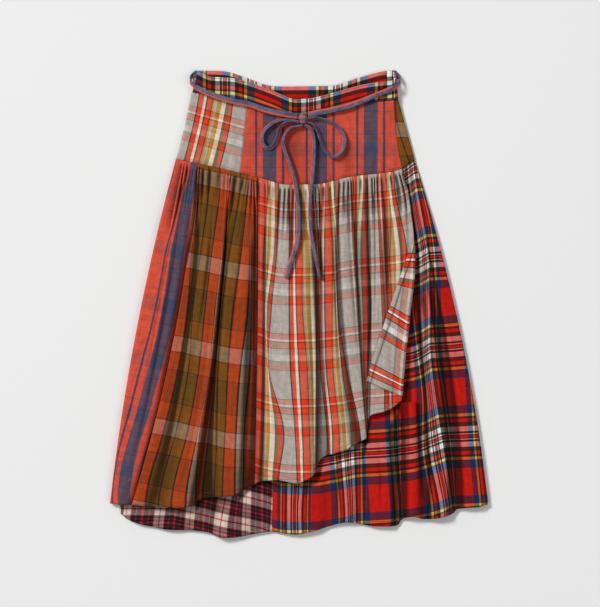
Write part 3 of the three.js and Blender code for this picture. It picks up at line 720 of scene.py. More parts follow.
def yoke_lift(x, t):
    """Soft puckers that the seams above and below draw in, and the cloth's slight belly between them."""
    above = 0.7 * math.sin(x * 0.19 + 3 * math.sin(x * 0.031)) * (1 - smooth(0.02, 0.3, t))
    below = 0.9 * math.sin(x * 0.27 + 2 * math.sin(x * 0.047)) * smooth(0.62, 0.97, t)
    return (above + below) * smooth(0, 0.06, t) * (1 - smooth(0.97, 1, t)) + 0.8 * math.sin(math.pi * t)


def yoke_row(left, right, t, columns):
    row = []
    for k in range(columns + 1):
        x = lerp(bow(*left, t), bow(*right, t), k / columns)
        row.append(Vector((x, yoke_y(x, t),
                           lerp(YOKE_HEAD_LEVEL, yoke_level(x), smooth(0, 0.3, t)) + yoke_lift(x, t))))
    return row


def moved(edge, by):
    return tuple(x + by for x in edge)


left_rows = []
for j in range(YOKE_ROWS + 1):
    t = j / YOKE_ROWS
    row = yoke_row(moved(YOKE_LEFT, SIDE_ROUND), DOVE_TO_CORAL, t, 44)
    turn = side_turn(bow(*YOKE_LEFT, t), lambda x, s: yoke_y(x, t), row[0].z, -1)
    left_rows.append(turn + row)

# Where single warp yarns run at the yoke's left: x, then the distance across the cloth
LEFT_YARNS = line([(-220, 10), (-189.9, 39), (-188.1, 42), (-179.9, 50), (-175, 54.5), (-172.7, 57),
                   (-164.9, 67.5), (-162.8, 70), (-160.1, 73), (-155.2, 76), (-147.7, 82), (-140.4, 90),
                   (-134.8, 94.5), (-128.1, 100), (-126, 103), (-97.7, 131)])


def left_yoke_thread(spot, reach, i, j):
    t = j / YOKE_ROWS
    lean = bow(*YOKE_LEFT, 0.6) - bow(*YOKE_LEFT, t)
    share = 1 - 0.45 * smooth(-130, -97, spot.x)
    across = LEFT_YARNS(spot.x + lean * share)
    if i < SIDE_COLUMNS + 2:
        across -= max(0, 8 - spot.z)
    return (across, 407 - 0.29 * spot.x - spot.y)


yoke_left = rows_piece("dove_yoke_front_left", left_rows, left_yoke_thread, dove_check, CLOTH,
                       ["yoke_front_left"])
CORAL_THREAD = "8c2f22"
DOVE_THREAD = "6d6259"
stitch_row("dove_yoke_foot_stitches", left_rows[YOKE_ROWS - 1][14::2], DOVE_THREAD)
stitch_row("yoke_front_seam_stitches", [row[-2] for row in left_rows[::3]], DOVE_THREAD)

# Where the front sinks softly under the bow, drawn in by the tie, with painted shade there standing in for the
# shadow
# that the standing loops and tails cast: x, y, half width, half height and depth, which is both how dark that
# painted shade is and a share of DIP_MM
DIP_MM = 1.6
BOW_DIPS_AND_SHADE =[(-11, 262, 19, 46, 0.5), (86, 258, 9, 30, 0.4), (-70, 300, 14, 30, 0.2), (45, 262, 16, 40, 0.2)]


def bow_dip_and_shade(point):
    return sum(depth * math.exp(-((point.x - x) / width) ** 2 - ((point.y - y) / height) ** 2)
               for x, y, width, height, depth in BOW_DIPS_AND_SHADE)


def right_yoke_thread(spot, reach, i, j):
    return (0.96 * (spot.x + 51.6) + 11.5, 331.6 - spot.y)


right_rows = [yoke_row(moved(DOVE_TO_CORAL, SEAM_GAP), CORAL_TO_UMBER, j / YOKE_ROWS, 110)
              for j in range(YOKE_ROWS + 1)]
# The yoke sinks by each depth, and the same numbers become its painted shade under the bow.
dips_and_shade = [[bow_dip_and_shade(point) for point in row] for row in right_rows]
for row, depths in zip(right_rows, dips_and_shade):
    for point, depth in zip(row, depths):
        point.z -= DIP_MM * depth
yoke_right = rows_piece("coral_yoke_front_right", right_rows, right_yoke_thread, coral_stripe, CLOTH,
                        ["yoke_front_right"], dips_and_shade)
stitch_row("coral_yoke_foot_stitches", right_rows[YOKE_ROWS - 1][1:-1:2], CORAL_THREAD)

# The back yoke's right end goes round the side to the front; from there its places run on behind.
BACK_RIGHT_END = (169, 185.7)
back_rows = []
for j in range(YOKE_ROWS + 1):
    t = j / YOKE_ROWS
    front = yoke_row(moved(CORAL_TO_UMBER, SEAM_GAP), moved(YOKE_RIGHT, -4.2), t, 10)
    turn = side_fold(bow(*YOKE_RIGHT, t), lambda x, s: yoke_y(x, t), front[-1].z, 1, 0)[::-1]
    xs = [lerp(*BACK_RIGHT_END, t)] + [x * lerp(0.97, 1, t) for x in BACK_STATIONS]
    xs.append(bow(*YOKE_LEFT, t) + SIDE_RETURN + SEAM_GAP)
    back_rows.append(front[:-1] + turn + [Vector((x, yoke_y(x, t), 0)) for x in xs])


def back_yoke_thread(spot, reach, i, j):
    lean = 21 * max(0, j / YOKE_ROWS - 0.3)
    return (46 - lean + reach, 107.5 + WAIST_SEAM(spot.x) - spot.y)


yoke_back = rows_piece("umber_yoke_back", back_rows, back_yoke_thread, umber_check, CLOTH, ["yoke_back"])

# Over skirt: coral stripe round the left side, umber check, then dove check across the front to the right.
# Each is a straight length of cotton gathered at the yoke, with a narrow stitched hem; the folds that fall
# from the gathers are listed one by one.
OVER_LEVEL = 8.4
OVER_SIDE_LOFT = 12
OVER_LEFT = (-216, -285.5, -331.5)
CORAL_FOOT = -349
WRAP_CORNER_X = 178.5
WRAP_EDGE = (180, 201, WRAP_CORNER_X)
WRAP_SWING = line([(0, 0), (0.12, 4), (0.25, 3.5), (0.45, 0), (0.65, -7), (0.78, -7.6), (0.9, -4.7), (1, 0)])

# Fold lines: distance across the cloth, x at the seam, halfway and at the hem, y at the hem, and the rise
CORAL_FOLDS = [
    (0, -203, -262, -320, -350, 6),
    (14, -197, -250, -314, -350, 8),
    (38, -184, -228, -303, -351, 6),
    (48, -177.3, -218.3, -293.3, -351, 2),
]
UMBER_FOLDS = [
    (0, -177, -218, -293, -351, 2),
    (19, -173, -200, -270, -353, 3),
    (39, -156, -186, -243, -354, 9),
    (61, -138, -167, -222, -355, 13),
    (82, -124, -150, -201, -355, 12),
    (96, -122, -145, -184, -351, 5),
    (107, -121, -144, -177, -344, 1),
    (119, -119, -142, -166, -339, 1),
    (140, -103, -139, -145, -337, 8),
    (161, -89, -122, -134, -336, 12),
    (182, -84, -100, -115, -334, 11),
    (200, -80, -82, -98, -325, 5),
    (219, -71.5, -73, -78, -316, 0),
]
DOVE_FOLDS = [
    (0, -71.2, -72.7, -77.7, -315, 0),
    (12, -60, -62, -68, -310, 2.5),
    (27, -52, -57.5, -57, -308, 8),
    (43, -45, -53, -39, -307, 10),
    (50, -39, -48, -31, -308, 9),
    (70, -27, -33, -16, -311, 9.5),
    (92, -16, -17, -2, -313, 11),
    (108, -7, -3, 7, -309, 13),
    (120, 2, 11, 18, -304, 14),
    (135, 10, 26, 26, -297, 11),
    (143, 16, 30, 30, -290, 7),
    (156, 23, 33, 33, -279, 2),
    (179, 30, 36, 39, -270, 0),
    (201, 35, 39, 52, -263, 4),
    (213, 42, 45, 58, -262, 8),
    (228, 52, 59, 70, -258, 10),
    (242, 61, 66, 85, -253, 8),
    (256, 66, 69, 95, -247, 5),
    (266, 72, 73, 105, -241, 7),
    (280, 79, 82, 112, -237, 12),
    (301, 89, 99, 117, -234, 11),
    (332, 98, 103, 119, -220, 3),
    (357, 110, 110, 121, -203, 1),
    (371, 119, 124, 123, -196, 3),
    (381, 126, 129, 127, -193, 8),
    (415, 138, 143, 150, -187, 7),
    (437, 150, 159, 162, -182, 3),
    (464, 161, 173, 170, -176, 4),
    (481, 170, 187, 175, -172, 3),
    (507, 180, 201, 178.5, -168, 4),
]

# Where single warp yarns run: distance across the cloth in mm, then the yarn's x in the photo at each height
CORAL_STATIONS = (165, 200, 250, 320, 400, 480)
CORAL_YARNS = [
    (-53, 172.5, 162.4, 146, 126, 108, 96),
    (-49, 174, 163.8, 148, 129, 110, 98),
    (-13, 186.5, 178.8, 165.4, 151.8, 130.8, 112),
    (-9, 187, 179.3, 167, 153.8, 133, 114),
    (0, 190.5, 181.5, 171, 160, 140, 119),
    (23, 197, 192.5, 184.3, 173.5, 152.5, 131.5),
    (32, 199.5, 197.5, 189.5, 176.3, 160, 138.5),
]
UMBER_STATIONS = (190, 250, 310, 370, 430, 495)
UMBER_YARNS = [
    (2, 198.5, 191, 177.5, 168, 152, 133.5),
    (24.3, 199.5, 191.3, 187.5, 178, 164, 146.5),
    (47.4, 208.5, 200.8, 192.8, 188.5, 176.5, 159.5),
    (70.5, 219.5, 212, 205, 198.5, 188, 172),
    (94.8, 229, 222, 214.5, 209, 198, 185),
    (97.3, 229.4, 222.3, 215.5, 209.4, 198.6, 186.5),
    (111.3, 229.8, 222.6, 216.5, 209.8, 199.8, 195.5),
    (113.8, 230, 222.8, 217, 210.2, 200.3, 196.5),
    (136.8, 230.3, 223.2, 218, 216, 208.5, 201.5),
    (139.3, 230.6, 223.5, 218.5, 216.6, 210, 203),
    (161.2, 239.7, 230, 221.5, 217.4, 217, 214.5),
    (184.3, 247.2, 241.5, 232.8, 227.7, 225, 222),
    (208.6, 250.5, 249.8, 246.5, 239, 235, 233.5),
    (211.1, 250.8, 250.2, 248.5, 240.3, 236.3, 235),
    (225.1, 251.2, 250.8, 251, 249, 244, 243),
    (227.6, 251.6, 251.2, 251.8, 251, 245, 244.3),
    (250.6, 257.2, 257, 256.5, 259, 257.5, 253.5),
]
DOVE_STATIONS = (185, 250, 310, 370, 430, 478)
DOVE_YARNS = [
    (57, 258.5, 256.5, 255.5, 256, 254.5, 253),
    (67.5, 267.5, 263, 262.5, 264.5, 262.5, 260),
    (82, 271, 270.5, 265, 268, 270, 267.8),
    (90, 274.5, 273.8, 266.8, 268.3, 274.7, 272.3),
    (101, 278, 276.8, 271, 269, 283.3, 278.3),
    (103, 279.5, 277.5, 271.8, 269.3, 284.3, 279.3),
    (143, 289.5, 289, 289, 290.3, 294.6, 297),
    (153, 292.5, 293.3, 293.3, 295.3, 298.6, 300.6),
    (157.5, 295, 294.8, 295.7, 298.2, 301.5, 303),
    (160, 295.8, 296, 296.8, 299.6, 303, 304.2),
    (170.5, 298.5, 301.6, 301.7, 306.6, 308.8, 310),
    (179.5, 301, 304.8, 306.5, 310.8, 312.6, 313.5),
    (185, 303.6, 309.2, 310.8, 313.2, 314, 314.5),
    (193, 308, 313.5, 315.3, 315.8, 315, 315.5),
    (204, 313, 317, 317.8, 316.8, 316, 316.5),
    (246, 320, 318, 318.3, 320, 326.5, 326),
    (256, 323, 321.2, 321.2, 323, 329.3, 329),
    (260.5, 325, 323.8, 324, 325.6, 331.6, 331.5),
    (263, 325.7, 325, 325.4, 326.8, 332.8, 333),
    (273.5, 328.5, 331.8, 331.6, 332.3, 338.3, 339),
    (282.5, 330, 335.4, 334.8, 336.6, 342, 343),
    (288, 331, 336.8, 336, 339.6, 345.6, 347),
    (296, 333.2, 337.4, 336.9, 341.6, 350, 351),
    (301, 337, 337.8, 337.4, 343.2, 353.8, 355),
    (307, 338.3, 338.1, 337.8, 346.6, 359.2, 360),
    (309, 339.5, 338.4, 338.1, 347.2, 360.2, 361),
    (349, 350.3, 353, 358.8, 361.5, 366.5, 366.8),
    (366, 352, 353.5, 359.3, 362.2, 366.9, 367),
    (376.5, 356, 354.8, 359.6, 362.5, 367, 367),
    (391, 360.3, 357.2, 360.8, 363.1, 367.2, 367.2),
    (399, 363, 360.3, 362.3, 363.4, 367.3, 367.3),
    (404, 364.6, 363.3, 363.6, 363.8, 367.4, 367.4),
    (410, 367.2, 367.8, 369, 367.2, 367.5, 367.5),
    (412, 368, 368.8, 371.8, 368.6, 368, 368),
    (452, 377.2, 379.3, 381.6, 384, 384.5, 385),
    (462, 379.3, 382.2, 385.6, 388.5, 389.7, 390),
    (466.5, 380.6, 384.2, 387.2, 390.5, 391.6, 392),
    (469, 381.2, 385, 388, 392, 392.7, 393),
    (479.5, 386, 388.5, 392, 399, 401, 402),
    (494, 389, 395.5, 397, 403, 404, 405),
    (502, 391, 399.8, 400, 405, 406, 407),
    (507, 391.8, 402.5, 403, 407, 408, 409),
    (513, 394.2, 406.5, 406, 409, 410, 411),
    (515, 395, 407.2, 407, 410, 411, 412),
    (535, 402, 413, 411.5, 411.5, 412, 413),
    (555, 408, 415, 413, 413, 414, 415),
]
PHOTO_MIDDLE_PX = (299, 304.5)


def yarn_finder(stations, yarns):
    """Gives the cloth's own distance across and along, in mm, at a place seen from above."""

    def seen_x(row, near, weights):
        return sum(weight * row[1 + k] for k, weight in zip(near, weights))

    def find(x, y):
        px = x / PIXEL_MM + PHOTO_MIDDLE_PX[0]
        py = PHOTO_MIDDLE_PX[1] - y / PIXEL_MM
        last = len(stations) - 1
        k = max(0, min(last - 1, bisect(stations, py) - 1))
        s = min(max((py - stations[k]) / (stations[k + 1] - stations[k]), -0.4), 1.4)
        near = (max(0, k - 1), k, k + 1, min(last, k + 2))
        weights = (s * s - 0.5 * s - 0.5 * s ** 3, 1 - 2.5 * s * s + 1.5 * s ** 3,
                   0.5 * s + 2 * s * s - 1.5 * s ** 3, 0.5 * s ** 3 - 0.5 * s * s)
        low = 0
        high = len(yarns) - 1
        first = seen_x(yarns[0], near, weights)
        final = seen_x(yarns[high], near, weights)
        if px <= first:
            across = yarns[0][0] + (px - first) * PIXEL_MM
            head = yarns[0][1] + px - first
        elif px >= final:
            across = yarns[high][0] + (px - final) * PIXEL_MM
            head = yarns[high][1] + px - final
        else:
            while high - low > 1:
                middle = (low + high) // 2
                if seen_x(yarns[middle], near, weights) <= px:
                    low = middle
                else:
                    high = middle
            start = seen_x(yarns[low], near, weights)
            share = (px - start) / max(seen_x(yarns[high], near, weights) - start, 1e-6)
            across = lerp(yarns[low][0], yarns[high][0], share)
            head = lerp(yarns[low][1], yarns[high][1], share)
        head_x = (head - PHOTO_MIDDLE_PX[0]) * PIXEL_MM
        return across, math.hypot(x - head_x, YOKE_SEAM(head_x) - y)

    return find


class FoldedCloth:
    """A panel given by its fold lines. The small creases, placed one by one, are added to its rows by
    crease_lift.
    """

    def __init__(self, folds, step, swing=None):
        cloth = [fold[0] for fold in folds]
        curves = [through(cloth, [fold[key] for fold in folds]) for key in range(1, 6)]
        self.columns = round((cloth[-1] - cloth[0]) / step)
        self.cloth = [lerp(cloth[0], cloth[-1], i / self.columns) for i in range(self.columns + 1)]
        self.lines = [[curve(c) for curve in curves] for c in self.cloth]
        self.swing = swing

    def place(self, i, t):
        seam, middle, hem, drop, rise = self.lines[i]
        x = bow(seam, middle, hem, t)
        if self.swing:
            x += self.swing(self.cloth[i], t)
        return x, lerp(YOKE_SEAM(seam) - SEAM_GAP, drop, t), rise


def gather_lift(s, t, count, seed, height):
    """Uneven gathers: a row of rounded ridges of different heights and reaches below the seam. s is the share
    across the panel and t the share down it."""
    phase = count * s + 0.16 * math.sin(9 * s) + 0.14 * math.sin(31 * s + seed)
    number = math.floor(phase)
    tall = 0.65 + 0.35 * math.sin(5.3 * number + seed)
    ridge = tall * (0.5 - 0.5 * math.cos(2 * math.pi * phase)) ** 0.65
    reach = 0.1 + 0.2 * (0.5 + 0.5 * math.sin(3.7 * number + seed))
    fade = smooth(0, 0.025, t) * (1 - smooth(0.03, reach, t))
    ends = smooth(0, 0.03, s) * (1 - smooth(0.97, 1, s))
    return height * fade * ends * ridge


def crease_lift(creases, c, t):
    """Soft troughs and ridges: middle in mm across the cloth at their head and foot, where along the panel
    they start and stop, half their width, and their height, below zero for a trough."""
    total = 0
    for head, foot, start, stop, width, height in creases:
        if start < t < stop:
            share = (t - start) / (stop - start)
            off = (c - lerp(head, foot, share)) / width
            if abs(off) < 2.5:
                total += height * math.exp(-off * off) * math.sin(math.pi * share) ** 0.7
    return total


CORAL_CREASES = [(20, 26, 0.02, 0.9, 4, -3), (8, 12, 0.1, 0.8, 4, -2), (34, 36, 0.05, 0.7, 4, 1.6)]
UMBER_CREASES = [
    (14, 22, 0.02, 0.6, 4, -2.2), (30, 36, 0.05, 0.9, 5, 1.8), (52, 50, 0.02, 0.5, 4, -2.4),
    (70, 72, 0.3, 0.98, 6, -1.8), (150, 152, 0.1, 0.9, 5, 1.6), (170, 166, 0.02, 0.55, 4, -2.2),
    (190, 196, 0.3, 0.98, 5, -1.6), (208, 206, 0.03, 0.6, 4, -1.6), (132, 134, 0.5, 0.99, 5, 1.5),
]
DOVE_CREASES = [
    (13, 15, 0.02, 0.97, 4, -2.4), (34, 30, 0.03, 0.5, 4, -1.6), (60, 62, 0.02, 0.35, 5, -2.2),
    (100, 96, 0.02, 0.3, 4, -2), (126, 128, 0.3, 0.98, 5, -1.6),
    (208, 206, 0.02, 0.5, 4, -1.6), (236, 240, 0.02, 0.7, 4, -2), (262, 258, 0.05, 0.6, 4, -1.6),
    (290, 300, 0.02, 0.8, 5, -2.2), (316, 322, 0.1, 0.9, 5, 1.5), (340, 336, 0.02, 0.6, 4, -1.8),
    (396, 392, 0.02, 0.6, 5, -2.4), (410, 424, 0.1, 0.85, 5, 1.6), (430, 432, 0.02, 0.5, 4, -2.2),
    (452, 440, 0.02, 0.4, 4, -2), (470, 474, 0.02, 0.55, 4, -2), (492, 486, 0.03, 0.5, 4, -1.8),
]


def over_height(x, rise, t):
    return lerp(yoke_level(x), OVER_LEVEL, smooth(0, 0.15, t)) + rise * smooth(0, 0.3, t)


OVER_ROWS = 150
OVER_GATHER_HEIGHT = 6.4


def over_share(j):
    """The share down the panel at a row. Rows lie closer near the gathers."""
    return (j / OVER_ROWS) ** 1.15


def over_rows(cloth, gathers, seed, creases):
    rows = []
    for j in range(OVER_ROWS + 1):
        t = over_share(j)
        row = []
        for i, c in enumerate(cloth.cloth):
            x, y, rise = cloth.place(i, t)
            lift = gather_lift(i / cloth.columns, t, gathers, seed, OVER_GATHER_HEIGHT)
            lift += crease_lift(creases, c, t)
            row.append(Vector((x, y, over_height(x, rise, t) + lift)))
        rows.append(row)
    return rows


def hollows(rows, first, last):
    """How much painted shade each point between two columns gets, by how deep it lies below the crests beside
    it, from 0 on a crest to 1 in a deep fold. Creases count over a few columns, and folds over more, most of
    all with a crest at their left, where the light comes from."""
    found = []
    for row in rows:
        heights = [point.z for point in row]
        depths = []
        for i in range(len(row)):
            if first <= i <= last:
                crease = max(heights[max(first, i - 4):min(last, i + 4) + 1]) - heights[i]
                left = max(heights[max(first, i - 19):i + 1]) - heights[i]
                right = max(heights[i:min(last, i + 14) + 1]) - heights[i]
                depths.append(min(1, 0.9 * smooth(0.7, 3.6, crease) + 0.7 * smooth(2.5, 11, left)
                                  + 0.3 * smooth(2.5, 10, right)))
            else:
                depths.append(0)
        found.append(depths)
    return found


def side_line(foot, t):
    """Gives y along a row at a side fold, at the share t from the yoke's seam to the foot."""
    return lambda x, s: lerp(YOKE_SEAM(x) - SEAM_GAP, foot, t)


def panel(name, rows, yarns, weft_start, material, node_names, side=0, shaded=None):
    """A skirt panel. side is -1 or 1 where its first or last columns go round the skirt's left or right side,
    down which the cloth's distance across goes on. shaded gives more painted shade at a point."""
    last = len(rows[0]) - 1
    front_start = SIDE_COLUMNS if side < 0 else 0
    front_end = last - SIDE_COLUMNS if side > 0 else last
    find = yarn_finder(*yarns)

    def thread(spot, reach, i, j):
        across, along = find(spot.x, spot.y)
        if not front_start <= i <= front_end:
            across += side * max(0, OVER_SIDE_LOFT - spot.z)
        return (across, along - weft_start)

    depths = hollows(rows, front_start, front_end)
    if shaded:
        depths = [[min(1, depth + shaded(point)) for depth, point in zip(depth_row, row)]
                  for depth_row, row in zip(depths, rows)]
    piece = rows_piece(name, rows, thread, material, CLOTH, node_names, depths)


coral_rows = over_rows(FoldedCloth(CORAL_FOLDS, 1.6), 5, 1.2, CORAL_CREASES)
for j, row in enumerate(coral_rows):
    t = over_share(j)
    top = lerp(YOKE_LEVEL, OVER_SIDE_LOFT, smooth(0, 0.2, t))
    coral_rows[j] = side_turn(bow(*OVER_LEFT, t), side_line(CORAL_FOOT, t), top, -1) + row
HEM_ROW = OVER_ROWS - 2
stitch_row("coral_hem_stitches", coral_rows[HEM_ROW][SIDE_COLUMNS::3], CORAL_THREAD)
panel("coral_over_side_panel", coral_rows, (CORAL_STATIONS, CORAL_YARNS), 0, coral_stripe,
      ["over_side_panel"], -1)

umber_rows = over_rows(FoldedCloth(UMBER_FOLDS, 1.9), 15, 2.6, UMBER_CREASES)
stitch_row("umber_hem_stitches", umber_rows[HEM_ROW][1::2], "4a3418")
panel("umber_over_middle_panel", umber_rows, (UMBER_STATIONS, UMBER_YARNS), 9.3, umber_check,
      ["over_middle_panel"])


def wrap_swing(c, t):
    return WRAP_SWING(t) * smooth(400, 507, c)


dove_rows = over_rows(FoldedCloth(DOVE_FOLDS, 2.1, wrap_swing), 33, 0.7, DOVE_CREASES)
stitch_row("dove_hem_stitches", dove_rows[HEM_ROW][1::2], "5c5148")
panel("dove_over_wrap_panel", dove_rows, (DOVE_STATIONS, DOVE_YARNS), 33.8, dove_check,
      ["over_wrap_panel"])

# Turned edge: the wrap panel's free edge folded back over its face, with a narrow stitched hem. It is the
# same dove check seen from its wrong side, which shows more of the weft.
# Share down, y and x at the left, and y at the fold
TURNED_EDGE = [
    (0, 106, 195, 104),
    (0.12, 78, 187, 78),
    (0.3, 38, 173, 32),
    (0.5, -8, 157.5, -28),
    (0.7, -56, 141.5, -82),
    (0.86, -98, 127.5, -126),
    (1, -134, 118, -160),
]
TURNED_HEM_MM = 7.5
TURNED_ROWS = 100
TURNED_COLUMNS = 24
WRAP_HEAD_Y = 238
WRAP_DROP = 406


def wrap_edge(y):
    """x of the wrap's free edge."""
    t = min(max((WRAP_HEAD_Y - y) / WRAP_DROP, 0), 1)
    return bow(*WRAP_EDGE, t) + WRAP_SWING(t)


def dove_reverse_colour(tree, across, along):
    warp = stripes(tree, across, DOVE_WARP)
    return woven(tree, 0.72, warp, stripes(tree, along, DOVE_WEFT))


dove_reverse = cloth_material("dove_check_wrong_side", dove_reverse_colour)
turned_curves = [line([(row[0], row[key]) for row in TURNED_EDGE]) for key in (1, 2, 3)]
turned_rows = []
for j in range(TURNED_ROWS + 1):
    t = j / TURNED_ROWS
    left_y, left_x, fold_y = (curve(t) for curve in turned_curves)
    row = []
    fold_x = wrap_edge(fold_y) - 1.5
    for k in range(TURNED_COLUMNS + 1):
        s = k / TURNED_COLUMNS
        x = lerp(left_x, fold_x, s)
        y = lerp(left_y, fold_y, s)
        from_edge = s * (fold_x - left_x)
        hem = 0.5 * (1 - smooth(TURNED_HEM_MM - 1, TURNED_HEM_MM, from_edge))
        ripple = 0.5 * math.sin(0.09 * y + 4 * s) * math.sin(math.pi * s)
        row.append([x, y, front_top(x, y, 4) + 2.7 + hem + ripple + 2 * t * math.sin(math.pi * s) ** 2])
    level = row[-1][2]
    for out, down in ((1.6, 0.2), (2.9, 1.1), (3.7, 2.6)):
        row.append([fold_x + out, fold_y, level - down])
    turned_rows.append(row)
for again in range(4):
    levels = [[point[2] for point in row] for row in turned_rows]
    for above, own, below, row in zip(levels, levels[1:], levels[2:], turned_rows[1:]):
        for point, high, level, low in zip(row, above, own, below):
            point[2] = (high + 2 * level + low) / 4
turned_rows = [[Vector(point) for point in row] for row in turned_rows]


def turned_width(row):
    return row[TURNED_COLUMNS].x - row[0].x


def turned_thread(spot, reach, i, j):
    t = j / TURNED_ROWS
    down = 1.04 * (88.4 - turned_curves[2](t)) + 6 * smooth(0.9, 0.97, t)
    return (55 - turned_width(turned_rows[j]) * (1 - i / TURNED_COLUMNS), down)


def hem_point(row):
    return row[min(TURNED_COLUMNS, round(TURNED_COLUMNS * TURNED_HEM_MM / turned_width(row)))]


# Painted shade along the narrow hem's inner edge, where the turned cloth steps down.
turned_shade = []
for row in turned_rows:
    from_edge = [point.x - row[0].x for point in row]
    turned_shade.append([0.75 * math.exp(-((reach - TURNED_HEM_MM) / 1.6) ** 2) for reach in from_edge])
turned = rows_piece("dove_turned_edge", turned_rows, turned_thread, dove_reverse, CLOTH,
                    ["over_wrap_turned_edge"], turned_shade)
stitch_row("turned_hem_stitches", [hem_point(row) for row in turned_rows[2:-2:3]], "4a4038")

# Under skirt: ebony check flannel at the left and crimson tartan across the front and the right, hanging below
# the over skirt. Cut like the over skirt and gathered into the same seam. Its folds show where it is bare.
UNDER_LEVEL = 4.0
UNDER_SIDE_LOFT = 10
UNDER_INSET = 18.5
UNDER_RIGHT = (203, 282.6, 332)
EBONY_HEAD = 250
EBONY_FOOT = -368
CRIMSON_HEAD = 253
CRIMSON_FOOT = -351
SIDE_HEAD_Y = 254
SIDE_DROP = 602
WRAP_CORNER_Y = -171
OVER_HEM = line([(-332, -349), (-301, -351), (-223, -355), (-183, -351), (-156, -337), (-114, -334),
                 (-72, -311), (-2, -313), (31, -292), (51, -263), (98, -247), (118, -235), (121, -196),
                 (156, -186), (WRAP_CORNER_X, -169)])
EBONY_FOLDS = [
    (0, -189, -258, -302, -376, 4),
    (24, -176, -240, -282, -384, 6),
    (52, -158, -215, -256, -390, 3),
    (84, -138, -185, -226, -395, 6),
    (116, -118, -155, -192, -396, 2.5),
    (150, -98, -125, -160, -399, 5),
    (176, -82, -104, -134, -409, 9),
    (200, -66, -84, -110, -408, 6),
    (228, -50, -62, -82, -403, 3),
    (266, -30.3, -40.3, -47.3, -398, 2),
]
CRIMSON_FOLDS = [
    (0, -30, -40, -47, -398, 2),
    (42, -4, -6, -8, -403, 6),
    (78, 24, 27, 27, -397, 7),
    (106, 45, 50, 52, -389, 3),
    (140, 68, 78, 84, -382, 7),
    (166, 88, 100, 108, -385, 3),
    (196, 108, 122, 135, -389, 7),
    (222, 126, 145, 158, -389, 8),
    (240, 136, 157, 173, -387, 1),
    (248, 140, 162, 178, -380, 0.5),
    (262, 148, 172, 183, -375, 6),
    (288, 162, 192, 200, -372, 12),
    (314, 172, 207, 221, -376, 6),
    (334, 179, 221, 238, -375, 11),
    (358, 184, 236, 256, -371, 12),
    (374, 188, 245, 270, -366, 4),
    (384, 190, 250, 277, -359, 3),
    (406, 193, 261, 299, -356, 9),
    (424, 196, 269, 316, -355, 9),
]
EBONY_STATIONS = (490, 530)
EBONY_YARNS = [
    (-275, 97, 93),
    (-220, 128, 123),
    (-165, 162.5, 158),
    (-110, 192.5, 189),
    (-82, 206, 203),
    (-65, 217, 212),
    (-55, 226, 220),
    (-45, 233, 228),
    (0, 246, 245),
    (27.5, 262, 262),
    (50, 274, 272),
]
CRIMSON_STATIONS = (170, 210, 250, 300, 350, 400, 450, 510)

# Under the over skirt a yarn hangs straight: distance across, x down to 400, then at 450 and 510
COVERED_YARNS = [
    (-240, 274, 274, 272), (-213, 278, 278, 277), (-198, 281, 281, 280.5), (-193.5, 283, 283, 281.5),
    (-171.6, 289, 289, 288.5), (-158, 296, 297, 294.5), (-144.4, 303, 304, 300), (-120.2, 309, 310, 307.5),
    (-103.1, 312, 312, 310.5), (-54.9, 330, 329, 331.5), (-37.8, 334, 334.5, 339.5),
    (-13.6, 342, 342.5, 346.5), (0, 347, 347.5, 350.5), (13.6, 352, 352.5, 354.5), (37.8, 361, 361.5, 361.5),
    (54.9, 366, 365.5, 370),
]
CRIMSON_YARNS = [(across, *[x] * 6, low, foot) for across, x, low, foot in COVERED_YARNS] + [
    (103.1, 376, 378, 380, 382, 383, 384.5, 386, 390),
    (120.2, 380, 384, 387, 389, 390, 391.2, 392, 397),
    (126, 382, 386, 389, 392, 393, 396, 398.3, 401.8),
    (213, 390, 391, 392.5, 395, 397, 397.6, 399.6, 403),
    (261, 401, 404, 407, 409, 413.5, 417.5, 418.5, 424),
    (278.2, 404.5, 407, 411, 412.5, 417.5, 423, 423.5, 432.5),
    (290.4, 406.3, 410.6, 416.5, 417, 420, 425.5, 427, 437),
    (302.4, 408.7, 414.2, 420.5, 422.5, 423.3, 427.5, 430.5, 442),
    (316, 411.2, 417, 423.6, 425.3, 425.8, 430.5, 436.5, 447),
    (329.6, 413.8, 419.4, 427.3, 428.6, 428.8, 434, 442, 452),
    (341.5, 416.8, 424.3, 430.2, 431.5, 432.8, 439.5, 446.8, 453.7),
    (353.8, 419.2, 428.8, 434, 436.2, 437.3, 445, 451.5, 455.3),
    (371, 422.5, 434, 438.8, 441.2, 442, 447.5, 455, 456.5),
    (419, 431, 441, 450, 458, 464.5, 466.5, 469, 474.5),
    (436.2, 436, 446, 455, 463, 469, 473, 475.7, 480.5),
    (452, 441, 451, 460, 468, 474, 478.5, 482, 488),
]
CREAM_DULL = "d5cabb"
COAL = "191517"
ROSE = "b5202f"
EBONY_WARP = [(0.9, ROSE), (7.4, CREAM_DULL), (1.4, ROSE), (6.8, COAL), (1.2, ROSE), (7.6, COAL), (2.2, ROSE)]
EBONY_WEFT = [(1.4, ROSE), (9.4, CREAM_DULL), (1.6, ROSE), (4.6, COAL), (1.2, ROSE), (4.2, COAL), (1.8, ROSE)]


def ebony_colour(tree, across, along):
    warp = stripes(tree, across, EBONY_WARP, mirrored=True)
    return woven(tree, 0.5, warp, stripes(tree, along, EBONY_WEFT, mirrored=True), 3.5)


ebony_check = cloth_material("ebony_check_flannel", ebony_colour)


def bared(x, y):
    """How far a place on the under skirt is clear of the over skirt: 0 where covered, 1 where bare."""
    below_hem = smooth(4, 34, OVER_HEM(x) - y) if x < WRAP_CORNER_X else 0
    if x < WRAP_CORNER_X and y > WRAP_CORNER_Y:
        return below_hem
    return max(below_hem, smooth(6, 34, x - (wrap_edge(y) if y > WRAP_CORNER_Y else 160)))


def under_flat(x, t):
    return lerp(yoke_level(x) - 1.8, UNDER_LEVEL, smooth(0, 0.06, t))


